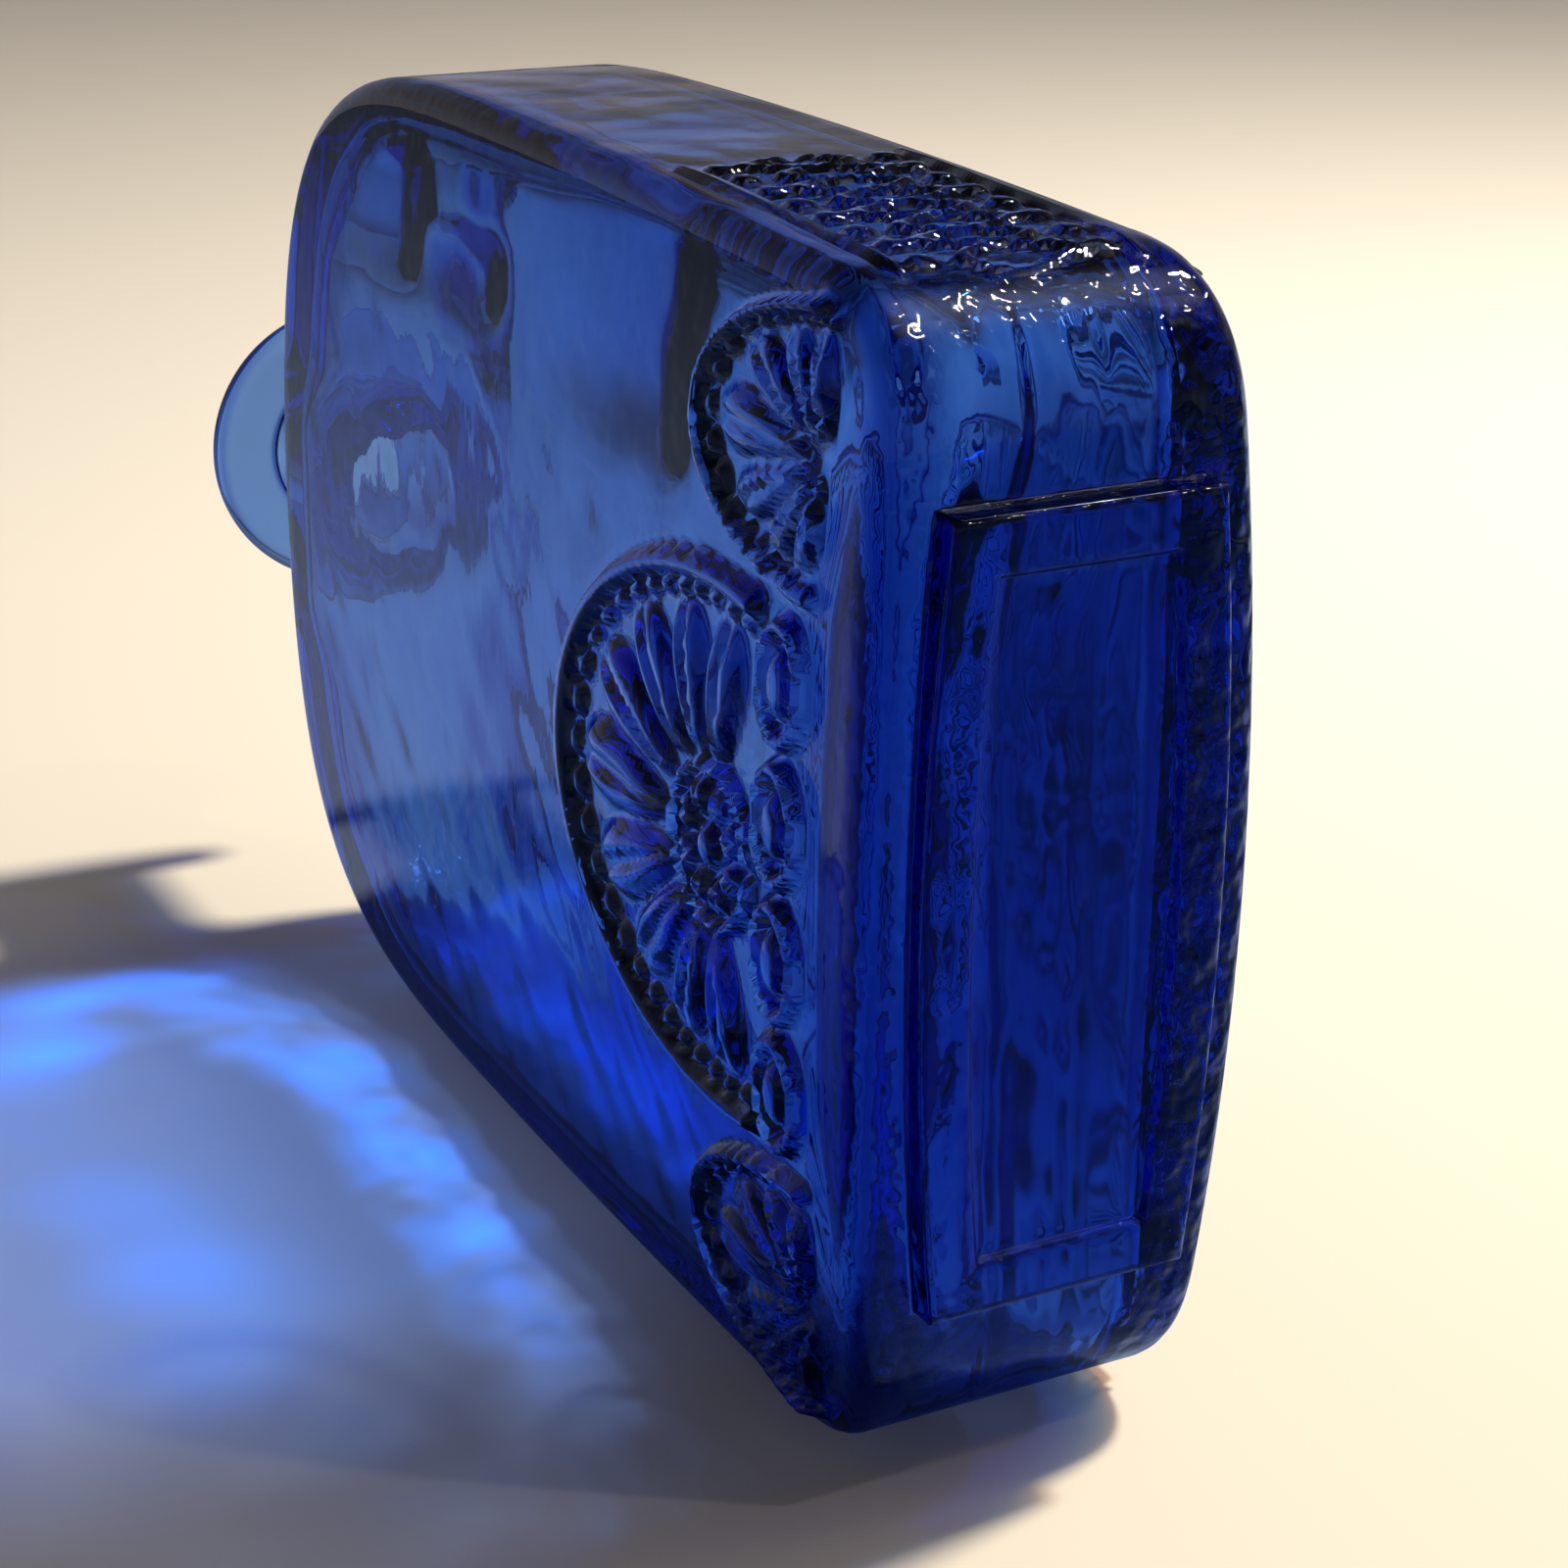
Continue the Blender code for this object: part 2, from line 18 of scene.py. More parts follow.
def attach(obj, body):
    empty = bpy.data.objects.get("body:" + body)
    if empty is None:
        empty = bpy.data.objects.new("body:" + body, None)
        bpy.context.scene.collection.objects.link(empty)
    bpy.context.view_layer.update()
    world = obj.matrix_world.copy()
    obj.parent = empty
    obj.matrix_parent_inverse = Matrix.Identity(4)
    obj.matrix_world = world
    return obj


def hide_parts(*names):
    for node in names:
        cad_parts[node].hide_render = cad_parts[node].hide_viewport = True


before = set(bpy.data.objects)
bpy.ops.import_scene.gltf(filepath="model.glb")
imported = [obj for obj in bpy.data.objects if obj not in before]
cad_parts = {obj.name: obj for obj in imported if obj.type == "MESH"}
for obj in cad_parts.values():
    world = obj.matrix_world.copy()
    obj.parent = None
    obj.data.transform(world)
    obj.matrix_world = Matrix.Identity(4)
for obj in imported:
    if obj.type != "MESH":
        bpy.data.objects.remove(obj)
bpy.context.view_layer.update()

# Body
BODY_LENGTH = 0.196
BODY_WIDTH = 0.150
RIM_THICKNESS = 0.0406
FACE_CROWN = 0.0048
THICKNESS_TAPER = 0.0019
SIDE_BOW = 0.0026
BASE_CROWN = 0.0035
BASE_CORNER = 0.0195
SHOULDER_LENGTH = 0.0865
RIM_RADIUS = 0.0034
CORNER_EXPONENT = 2.5
SHOULDER_EXPONENT = 4.0
WIDEST_SHARE = 0.60

# The hollow: the glass gathers in its corners and behind the base
WALL = 0.0050
BASE_WALL = 0.0125
BASE_WALL_START = 0.0250     # the base wall thins from this distance from the axis
BASE_WALL_END = 0.0640
BASE_WALL_FOCUS = 4          # how quickly it thins where the base turns into the sides
INNER_RIM_RADIUS = 0.0045
BASE_GATHER = 0.0030         # added to that radius round the base
SHOULDER_GATHER = 0.0088     # added to it round the shoulder, away from the bore
GATHER_START = 0.0140        # distance from the axis
GATHER_END = 0.0280
END_STEEPNESS = 1.5          # how quickly the base and the shoulder begin as the outline turns
# Drips down the inside of the base: spacing, depth, phase
DRIPS = ((0.0083, 0.00022, 0.4), (0.0051, 0.00014, 2.1), (0.0034, 0.00009, 4.0))
DRIP_SWAY = 0.0130           # length of their bends
DRIP_TURN = 1.5              # strength of their bends

# Folds left inside the broad walls: where each starts, its steep rise, its long fall, its
# height, and the four distances from the axis where it fades in and out
FOLDS = (
    (0.0440, 0.0145, 0.0550, 0.0032, (0.034, 0.050, 0.080, 0.090)),
    (0.1350, 0.0125, 0.0480, 0.0027, (0.042, 0.052, 0.060, 0.069)),
    (0.1035, 0.0095, 0.0420, 0.0018, (0.043, 0.050, 0.053, 0.060)),
)
FOLD_SWAY = 0.0010
FOLD_SWAY_LENGTH = 0.0060

# Waves left inside by the blowing: the lengths of crossing waves, and their heights
WAVE_LENGTHS = ((0.031, 0.019), (0.017, -0.043), (0.012, 0.014))
WALL_WAVE = 0.00005
BASE_WAVE = 0.00025
PUNT = 0.0025                # how far the middle of the base swells inwards

# Neck and lip
BORE_RADIUS = 0.0100
NECK_RADIUS = 0.0140
NECK_ROOT_RADIUS = 0.0172
NECK_ROOT_LENGTH = 0.0070
NECK_LENGTH = 0.0290
LIP_RADIUS = 0.0242
LIP_THICKNESS = 0.0050
LIP_ROUND = 0.0022
LIP_FILLET = 0.0015
MOUTH_RADIUS = 0.0118
MOUTH_ROUND = 0.0018
BORE_TAPER = 0.0070
BORE_FLARE = 0.0016

# Foot slab
FOOT_LENGTH = 0.0970
FOOT_THICKNESS = 0.0352
FOOT_BOW = 0.0028
FOOT_RAISE = 0.0030
FOOT_BEVEL = 0.0009
FOOT_FILLET = 0.0007
FOOT_BORDER = 0.0062
RECESS_DEPTH = 0.0013
RECESS_SLOPE = 0.0012

# Ornament: sizes given to its node tree, by the name of the input
ORNAMENT = {
    "Figure height": 0.0023,
    "Rosette place": 0.0315,
    "Rosette radius": 0.0105,
    "Petals": 8,
    "Palmette reach": 0.0465,
    "Palmette half width": 0.0345,
    "Palmette leaves": 9,
    "Oval place": 0.0146,
    "Oval width": 0.0110,
    "Oval length": 0.0160,
    "Oval spacing": 0.0170,
    "Ovals": 4,
    "Shell start": 0.0085,
    "Shell reach": 0.0325,
    "Shell place": 0.0525,
    "Shell half width": 0.0165,
    "Shell flutes": 7,
    "Scroll start": 0.0090,
    "Scroll length": 0.0560,
    "Scroll width": 0.0320,
    "Scroll height": 0.0010,
    "Scroll waves": 4,
}
# Where the ornament fades in, by how squarely the glass faces out
ON_FACE = (0.93, 0.985)
ON_SIDE = (0.90, 0.99)

# Leaves and flutes of the palmette, rosette and shells, as shares of their reach or breadth
LEAF_TIP = 0.86
LEAF_HALF = 0.48
GROOVE_HALF = 0.10
GROOVE_DEPTH = 0.5
BEADS_PER_LEAF = 3.0
BEAD_PLACE = 0.885
BEAD_REACH = 0.035
BEAD_HALF = 0.45
BEAD_HEIGHT = 0.6
BORDER_PLACE = 0.965
BORDER_HALF = 0.045
BOSS_SHARE = 0.30
PALMETTE_START = 0.27
PALMETTE_SPREAD = math.radians(108)
SHELL_START = 0.05
SHELL_SPREAD = math.radians(90)

# The ovals, as shares of half their length
OVAL_RIM = 0.86
OVAL_RIM_HALF = 0.14
EGG_HALF = 0.60

# The scroll, as shares of its width; a bud's reach is a share of its hollow
STEM_SWING = 0.26
STEM_HALF = 0.07
VINE_SWING = 0.20
VINE_HALF = 0.05
BUD_PLACE = 0.36
BUD_HALF = 0.08
BUD_REACH = 0.36
LINE_PLACE = 0.48
LINE_HALF = 0.03

# Holes left in the body's skins, measured across from the axis
FOOT_HOLE_HALF = 0.0505
NECK_HOLE_HALF = 0.0205
BORE_HOLE_HALF = 0.0125

# Patterns pressed in the skin: waves per metre, detail, roughness, depth in metres, strength
SLOW_WAVES = (45, 1, 0.3, 0.0004, 0.5)
TOP_RIPPLES = (62, 1, 0.4, 0.0018, 0.6)
FINE_STREAKS = (320, 2, 0.5, 0.00003, 0.5)
DRAWN_STREAKS = (130, 1, 0.4, 0.0005, 0.6)
HAMMERING = (340, 1, 0.4, 0.0012, 1.0)
SPARKLES = (260, 1, 0.5, 0.0013, 1.0)
STREAK_STRETCH = (1.0, 1.0, 0.35)
DRAWN_STRETCH = (1.0, 1.0, 0.22)
DRAWN_TURN = (0.35, 0.0, 0.0)
UPWARD_FOCUS = 6.0           # how squarely the glass has to face up for the ripples
HAMMERED_FADE = 0.006
# Ranges below are from and to a place, sometimes with the share at both
FRAME_FADE = (0.0110, 0.0140)
ROUGH_HALF_FADE = (-0.014, 0.012, 0.25)

# Glass
GLASS_IOR = 1.52
DEPTH_COLOUR = (0.068, 0.480, 0.898, 1)
DEPTH_DENSITY = 228
MIRROR_TINT = "8fb2ff"
RECESS_ROUGHNESS = 0.14
SPARKLE_WEIGHT = 0.10
SPARKLE_ROUGHNESS = 0.07
SPARKLE_IOR = 1.5
# Surface colour: clear, with painted shade on the base, deeper painted shade in its recess, and painted
# shade along the rims
CLEAR_TINT = "ffffff"
BASE_PAINTED_SHADE = "c4cad6"
RECESS_PAINTED_SHADE = "848a9c"
RIM_PAINTED_SHADE = "3060b4"
RIM_SHADE_GAIN = 3.0
BASE_FADE = 0.003
BASE_SHADE_RISE = (0.015, 0.070)
RECESS_FADE = (0.014, 0.010)

# Painted light and shadow that the bottle casts on the table, set by the place on the front wall that a
# shadow ray passes: a painted bright band and a paler pool, with painted shade at the base and neck ends. A
# share of 1 is the outline of the bright band.
BAND_LENGTH = 0.1520
BAND_WIDTH = 0.1030
BAND_EXPONENT = 4.0
BAND_PLACE = 1.15
BAND_HALF = 0.23
BAND_DRIFT = (38, 3, 0.55, 0.30)     # waves per metre, detail, roughness, reach
BAND_PATCHES = (60, 2, 0.5, 0.6)     # waves per metre, detail, roughness, swirl
PATCH_LIGHT = (0.36, 0.62, 0.65, 2.75)
POOL_LIGHT = (1.32, 0.95, 0.13, 0.60)
POOL_RISE = (-0.035, 0.010, 1.0, 2.25)
BASE_SHADE = (0.036, 0.076, 0.34, 1.0)
NECK_SHADE = (0.180, 0.192, 1.0, 0.35)
# Colours of that painted light, red, green, blue: warmer in the haze where little gets through and bluer in
# the bright streaks, painted as if light that the glass bends went a shorter way through it than straight
# light
STREAK_START = (1.0, 2.0)
HAZE_TINT = (1.350, 1.080, 0.970)
STREAK_TINT = (0.71, 0.93, 1.16)

# Table: its paint, with painted light brighter towards -X, and the painted reflection colour that the glass
# mirrors in its place
TABLE_HALF = 3.0
TABLE_GAP = 0.0001
PAINT_RIGHT = "eee8da"
PAINTED_LIGHT_LEFT = "fffaf0"
PAINTED_LIGHT_FADE = (0.30, -0.30)
PAINT_ROUGHNESS = 0.6
PAINTED_REFLECTION_LEFT = "9db2d6"
PAINTED_REFLECTION_RIGHT = "5272b4"
PAINTED_REFLECTION_FADE = (-0.05, 0.20)

# Room
HORIZON_COLOUR = "c9cbd2"
CEILING_COLOUR = "4e4b4a"
CEILING_START = 0.7
ROOM_STRENGTH = 0.68
ROOM_PATCHES = (6.0, 2, 0.5)
PATCH_EDGE = (0.42, 0.58)
WARM_PATCH = "e4d6ce"
COOL_PATCH = "dae4fa"
PLAIN_SHARE = 0.5            # where the room looks plain it is halfway between the two
GLOW_DIRECTION = (0.05, 0.48, 0.87)
GLOW_COLOUR = "fff1de"
GLOW_STRENGTH = 2.6
GLOW_FOCUS = 40.0

# Where the photograph was taken from: the point in the middle of its frame, and the way to the camera
LOOK_AT = Vector((0.02675, 0.01090, 0.05816))
CAMERA_DISTANCE = 0.44236
CAMERA_AZIMUTH = math.radians(61.93)
CAMERA_ELEVATION = math.radians(20.84)
CAMERA_ROLL = math.radians(0.63)
FOCAL_SHARE = 2.00693        # focal length over the frame's width
SENSOR_MM = 36
NEAREST = 0.01

# Mesh: spacings, and how many steps a rounding takes
FINE = 0.00084
COARSE = 0.0035
RELIEF_END = 0.0800
BAND_STEPS = 36
RIM_STEPS = 5
HOLLOW_SPACING = 0.0026
HOLLOW_BAND_STEPS = 34
TURNED_SPACING = 0.0016
FOOT_SPACING = 0.0016
HALF_CURVE = 200             # points on half of each curve of the outline
FOOT_ROUND_STEPS = 4
RECESS_STEPS = 6
ROOT_STEPS = 7
FILLET_STEPS = 5
LIP_STEPS = 6
MOUTH_STEPS = 5
TAPER_STEPS = 5
FLARE_STEPS = 4

HALF_WIDTH = BODY_WIDTH / 2
AXIS_HEIGHT = HALF_WIDTH
FOOT_FACE = -(BASE_CROWN + FOOT_RAISE)
HAMMERED_X = 0.1135          # from here to the foot's face the mould was rough
LIP_START = BODY_LENGTH + NECK_LENGTH
MOUTH = LIP_START + LIP_THICKNESS
BASE_X = (MOUTH + FOOT_FACE) / 2


def half_width(s):
    return HALF_WIDTH - 4 * SIDE_BOW * (s / BODY_LENGTH - WIDEST_SHARE) ** 2


def half_thickness(s, h):
    taper = THICKNESS_TAPER * (1 - 2 * s / BODY_LENGTH)
    return RIM_THICKNESS / 2 + taper + FACE_CROWN * (1 - (h / HALF_WIDTH) ** 2)


def base_swell(h):
    return BASE_CROWN * (1 - (h / HALF_WIDTH) ** 2)


def place(s, h, y):
    """Points of the glass in the object's own frame, with the base swelled outwards."""
    swell = base_swell(h) * np.clip(1 - s / BASE_CORNER, 0, 1)
    return np.stack([BASE_X - s + swell, y + 0 * s, AXIS_HEIGHT + h], axis=-1)


def superellipse(angle, exponent):
    radius = (np.abs(np.cos(angle)) ** exponent + np.abs(np.sin(angle)) ** exponent) ** (-1 / exponent)
    return radius * np.cos(angle), radius * np.sin(angle)


def spaced(start, end, spacing):
    count = max(1, math.ceil(abs(end - start) / spacing))
    return np.linspace(start, end, count + 1)


class HalfOutline:
    """The body's outline from the middle of the base to the middle of the shoulder, by length along it."""

    def __init__(self):
        turn = np.linspace(0, math.pi / 2, 2 * HALF_CURVE + 1)
        corner_h = half_width(BASE_CORNER) - BASE_CORNER
        shoulder = BODY_LENGTH - SHOULDER_LENGTH
        base = np.linspace(0, corner_h, HALF_CURVE + 1)[:-1]
        along, across = superellipse(turn, CORNER_EXPONENT)
        side = np.linspace(BASE_CORNER, shoulder, 2 * HALF_CURVE + 1)[1:-1]
        reach, rise = superellipse(math.pi / 2 - turn, SHOULDER_EXPONENT)
        end = half_width(shoulder)
        s = np.concatenate([0 * base, BASE_CORNER * (1 - along), side, shoulder + SHOULDER_LENGTH * reach])
        h = np.concatenate([base, corner_h + BASE_CORNER * across, half_width(side), end * rise])
        self.points = np.stack([s, h], axis=1)
        steps = np.linalg.norm(np.diff(self.points, axis=0), axis=1)
        self.lengths = np.concatenate([[0], np.cumsum(steps)])
        tangents = np.gradient(self.points, self.lengths, axis=0)
        self.normals = np.stack([-tangents[:, 1], tangents[:, 0]], axis=1)
        self.corner = self.lengths[len(base) + HALF_CURVE]
        self.shoulder = self.lengths[-HALF_CURVE - 1]
        self.end = self.lengths[-1]

    def at(self, lengths, sign=1):
        """Points and outward normals at these lengths, on the upper half or, for sign -1, the lower."""
        found = []
        for table in (self.points, self.normals):
            s, h = (np.interp(lengths, self.lengths, column) for column in table.T)
            found.append(np.stack([s, h * sign], axis=1))
        points, normals = found
        return points, normals / np.linalg.norm(normals, axis=1)[:, None]

    def length_at(self, s):
        return self.lengths[(self.points[:, 0] >= s) & (self.lengths > self.corner)][0]


class Glass:
    """The points and faces of one closed glass surface."""

    def __init__(self):
        self.points = []
        self.moulded = []
        self.faces = []

    def add(self, places, moulded=0.0):
        """Adds points and returns their numbers, in the same layout."""
        places = np.asarray(places)
        flat = places.reshape(-1, 3)
        start = len(self.points)
        self.points.extend(map(tuple, flat.tolist()))
        self.moulded.extend([moulded] * len(flat))
        return np.arange(start, start + len(flat)).reshape(places.shape[:-1])

    def grid(self, numbers):
        quads = np.stack([numbers[:-1, :-1], numbers[:-1, 1:], numbers[1:, 1:], numbers[1:, :-1]], axis=-1)
        self.faces.extend(map(tuple, quads.reshape(-1, 4).tolist()))

    def strip(self, first, second, skip=()):
        """Faces between two closed rings of equally many points."""
        count = len(first)
        for i in range(count):
            if i not in skip:
                j = (i + 1) % count
                self.faces.append((int(first[i]), int(first[j]), int(second[j]), int(second[i])))

    def stitch(self, first, first_angles, second, second_angles):
        """Triangles between two rings of different counts, matched by their angles round the axis."""
        rings = []
        for ring, angles in ((first, first_angles), (second, second_angles)):
            order = np.argsort(angles)
            closed = [int(ring[i]) for i in order] + [int(ring[order[0]])]
            rings.append((closed, list(np.asarray(angles)[order]) + [angles[order[0]] + math.tau]))
        (a, turn_a), (b, turn_b) = rings
        i = j = 0
        while i < len(a) - 1 or j < len(b) - 1:
            if j == len(b) - 1 or (i < len(a) - 1 and turn_a[i + 1] <= turn_b[j + 1]):
                self.faces.append((a[i], a[i + 1], b[j]))
                i += 1
            else:
                self.faces.append((a[i], b[j + 1], b[j]))
                j += 1

    def close(self, ring, centre):
        tip = int(self.add([centre])[0])
        for i in range(len(ring)):
            self.faces.append((int(ring[i]), int(ring[(i + 1) % len(ring)]), tip))

    def angles(self, ring):
        """Where each point of a ring lies round the bottle's axis."""
        return np.array([math.atan2(self.points[i][1], self.points[i][2] - AXIS_HEIGHT) for i in ring])

    def mesh(self, name):
        mesh = bpy.data.meshes.new(name)
        mesh.from_pydata(self.points, [], self.faces)
        flag = mesh.attributes.new("moulded", "FLOAT", "POINT")
        flag.data.foreach_set("value", self.moulded)
        bm = bmesh.new()
        bm.from_mesh(mesh)
        bmesh.ops.recalc_face_normals(bm, faces=bm.faces)
        bm.to_mesh(mesh)
        bm.free()
        mesh.shade_smooth()
        return mesh


def body_ring(outline, across_count, side_lengths):
    """The whole outline as one ring that starts at the lower corner of the base."""
    sweep = np.linspace(-1, 1, across_count + 1)
    sign = np.where(sweep < 0, -1, 1)
    shoulder_lengths = outline.end - (outline.end - outline.shoulder) * np.abs(sweep)
    parts = [
        outline.at(outline.corner * np.abs(sweep), sign),
        outline.at(side_lengths),
        outline.at(shoulder_lengths, -sign),
        outline.at(side_lengths[::-1], -1),
    ]
    points = np.concatenate([part[0][:-1] for part in parts])
    normals = np.concatenate([part[1][:-1] for part in parts])
    return points, normals


def coons_patch(ring, across_count, side_shares):
    """Fills the ring with a grid of places: rows along the axis, columns across it."""
    along_count = len(side_shares) - 1
    closed = np.concatenate([ring, ring[:1]])
    turns = np.cumsum([0, across_count, along_count, across_count, along_count])
    base, upper, shoulder, lower = (closed[i:j + 1] for i, j in zip(turns, turns[1:]))
    shoulder = shoulder[::-1]
    lower = lower[::-1]
    u = side_shares[:, None, None]
    v = np.linspace(0, 1, across_count + 1)[None, :, None]
    ruled = (1 - v) * lower[:, None] + v * upper[:, None] + (1 - u) * base[None] + u * shoulder[None]
    corners = (1 - u) * ((1 - v) * base[0] + v * base[-1]) + u * ((1 - v) * shoulder[0] + v * shoulder[-1])
    return ruled - corners


def patch_border(numbers):
    """The numbers along a patch's edge, in the order of the ring that it fills."""
    return np.concatenate([numbers[0, :-1], numbers[:-1, -1], numbers[-1, :0:-1], numbers[:0:-1, 0]])


def smooth_step(share):
    share = np.clip(share, 0, 1)
    return share * share * (3 - 2 * share)


def folds(s, h, side):
    """How much thicker a broad wall is inside than elsewhere, at (s, h)."""
    sway = FOLD_SWAY * np.sin(h / FOLD_SWAY_LENGTH)
    up = -side * h
    thicker = 0
    for start, rise, fall, height, (low, full, fading, high) in FOLDS:
        past = s - start - sway
        swell = smooth_step(past / rise) - smooth_step((past - rise) / fall)
        reach = smooth_step((up - low) / (full - low)) * smooth_step((high - up) / (high - fading))
        thicker = thicker + height * swell * reach
    return thicker


def crossing_waves(across, along):
    """The sum of the crossing waves at a place on the inside."""
    return sum(np.sin(math.tau * (across / a + along / b)) for a, b in WAVE_LENGTHS)


def uneven_face(s, h, side):
    """How much the inside of a broad wall stands in from a smooth one, at (s, h)."""
    return folds(s, h, side) + WALL_WAVE * crossing_waves(s, side * h)


def moved_in(points, normals, walls):
    """The outline's ring moved in by the wall's depth, which is largest in the middle of the base."""
    wall, base_wall = walls
    from_middle = (np.abs(points[:, 1]) - BASE_WALL_START) / (BASE_WALL_END - BASE_WALL_START)
    thick_base = np.clip(-normals[:, 0], 0, 1) ** BASE_WALL_FOCUS * (1 - smooth_step(from_middle))
    depths = wall + (base_wall - wall) * thick_base
    return points - depths[:, None] * normals


def gathered_radius(points, normals, radius, inside):
    """The rounding of the rim at each point of the ring, larger inside where glass gathers."""
    from_bore = (np.abs(points[:, 1]) - GATHER_START) / (GATHER_END - GATHER_START)
    on_shoulder = smooth_step(END_STEEPNESS * normals[:, 0]) * smooth_step(from_bore)
    on_base = smooth_step(-END_STEEPNESS * normals[:, 0])
    return radius + inside * (SHOULDER_GATHER * on_shoulder + BASE_GATHER * on_base)


def rim_rings(glass, points, normals, radius, wall, side, moulded):
    """The rounded rim of one broad face, ring by ring from the band to the face."""
    inside = wall > 0
    rings = []
    for step in range(RIM_STEPS):
        angle = math.pi / 2 * step / RIM_STEPS
        ring = points - (radius * (1 - math.cos(angle)))[:, None] * normals
        s, h = ring.T
        depth = wall + inside * math.sin(angle) ** 2 * uneven_face(s, h, side)
        y = half_thickness(s, h) - depth - radius * (1 - math.sin(angle))
        rings.append(glass.add(place(s, h, side * y), moulded))
    return rings


def band_rings(glass, points, normals, edge_y, sweep, inside, moulded):
    """The rings of the band between the two rims. Inside, its base end is swollen and has drips."""
    h = points[:, 1]
    punt = PUNT * np.clip(1 - (h / HALF_WIDTH) ** 2, 0, 1)
    sway = DRIP_TURN * np.sin(h / DRIP_SWAY)
    on_base = np.clip(-END_STEEPNESS * normals[:, 0], 0, 1)
    rings = []
    for share in sweep[1:-1]:
        y = share * edge_y
        drips = sum(depth * np.sin(math.tau * y / gap + phase + sway) for gap, depth, phase in DRIPS)
        uneven = BASE_WAVE * crossing_waves(h, y) + drips - punt
        swell = inside * (1 - share ** 2) * on_base * uneven
        shifted = points + swell[:, None] * normals
        rings.append(glass.add(place(shifted[:, 0], shifted[:, 1], y), moulded))
    return rings


def cut_holes(points, band, sweep, across_count, hole_halves):
    """The holes in the base and the shoulder: their borders, and the ring points whose faces stay out.

    A border comes with its points' places across and through the body, from -1 to 1.
    """
    holes = []
    skipped = set()
    last = len(sweep) - 1
    ends = (np.arange(len(points)) <= across_count, points[:, 0] > BODY_LENGTH - SHOULDER_LENGTH / 2)
    for on_end, half in zip(ends, hole_halves):
        if half:
            run = [int(i) for i in np.flatnonzero(on_end & (np.abs(points[:, 1]) <= half))]
            skipped |= set(run[:-1])
            border = [(i, 0) for i in run] + [(run[-1], k) for k in range(1, last)]
            border += [(i, last) for i in run[::-1]] + [(run[0], k) for k in range(last - 1, 0, -1)]
            numbers = np.array([band[k][i] for i, k in border])
            across = np.array([points[i, 1] for i, k in border])
            holes.append((numbers, across / np.abs(across).max(), np.array([sweep[k] for i, k in border])))
    return holes, skipped


def make_skin(glass, outline, walls, radius, spacing, band_steps, hole_halves, moulded):
    """One skin of the body: both broad faces, their rounded rims and the band between them.

    walls is the depth under the surface at the sides and at the base. The holes in the band,
    at the base and at the shoulder, come back as cut_holes gives them.
    """
    wall = walls[0]
    inside = wall > 0
    dense = outline.length_at(RELIEF_END)
    fine, coarse = spacing
    near_base = spaced(outline.corner, dense, fine)
    side_lengths = np.concatenate([near_base, spaced(dense, outline.shoulder, coarse)[1:]])
    across_count = 2 * math.ceil(outline.corner / fine)
    points, normals = body_ring(outline, across_count, side_lengths)
    points = moved_in(points, normals, walls)
    radius = gathered_radius(points, normals, radius, inside)
    side_shares = (side_lengths - side_lengths[0]) / (side_lengths[-1] - side_lengths[0])
    patch = coons_patch(points - radius[:, None] * normals, across_count, side_shares)
    s, h = patch[..., 0], patch[..., 1]
    borders = {}
    rims = {}
    for side in (-1, 1):
        depth = wall + inside * uneven_face(s, h, side)
        numbers = glass.add(place(s, h, side * (half_thickness(s, h) - depth)), moulded)
        glass.grid(numbers)
        borders[side] = patch_border(numbers)
        rims[side] = rim_rings(glass, points, normals, radius, wall, side, moulded)
    edge_y = half_thickness(points[:, 0], points[:, 1]) - wall - radius
    sweep = np.linspace(-1, 1, band_steps + 1)
    between = band_rings(glass, points, normals, edge_y, sweep, inside, moulded)
    band = [rims[-1][0], *between, rims[1][0]]
    front = [borders[-1], *rims[-1][::-1]]
    back = [*rims[1], borders[1]]
    for rows in (front, back):
        for first, second in zip(rows, rows[1:]):
            glass.strip(first, second)
    holes, skipped = cut_holes(points, band, sweep, across_count, hole_halves)
    for first, second in zip(band, band[1:]):
        glass.strip(first, second, skipped)
    return holes


def arc(centre, radius, start, end, steps):
    """Points (s, distance from the axis) on an arc; angles in degrees, 0 towards the mouth."""
    turns = np.radians(np.linspace(start, end, steps + 1))
    return [(centre[0] + radius * math.cos(t), centre[1] + radius * math.sin(t)) for t in turns]


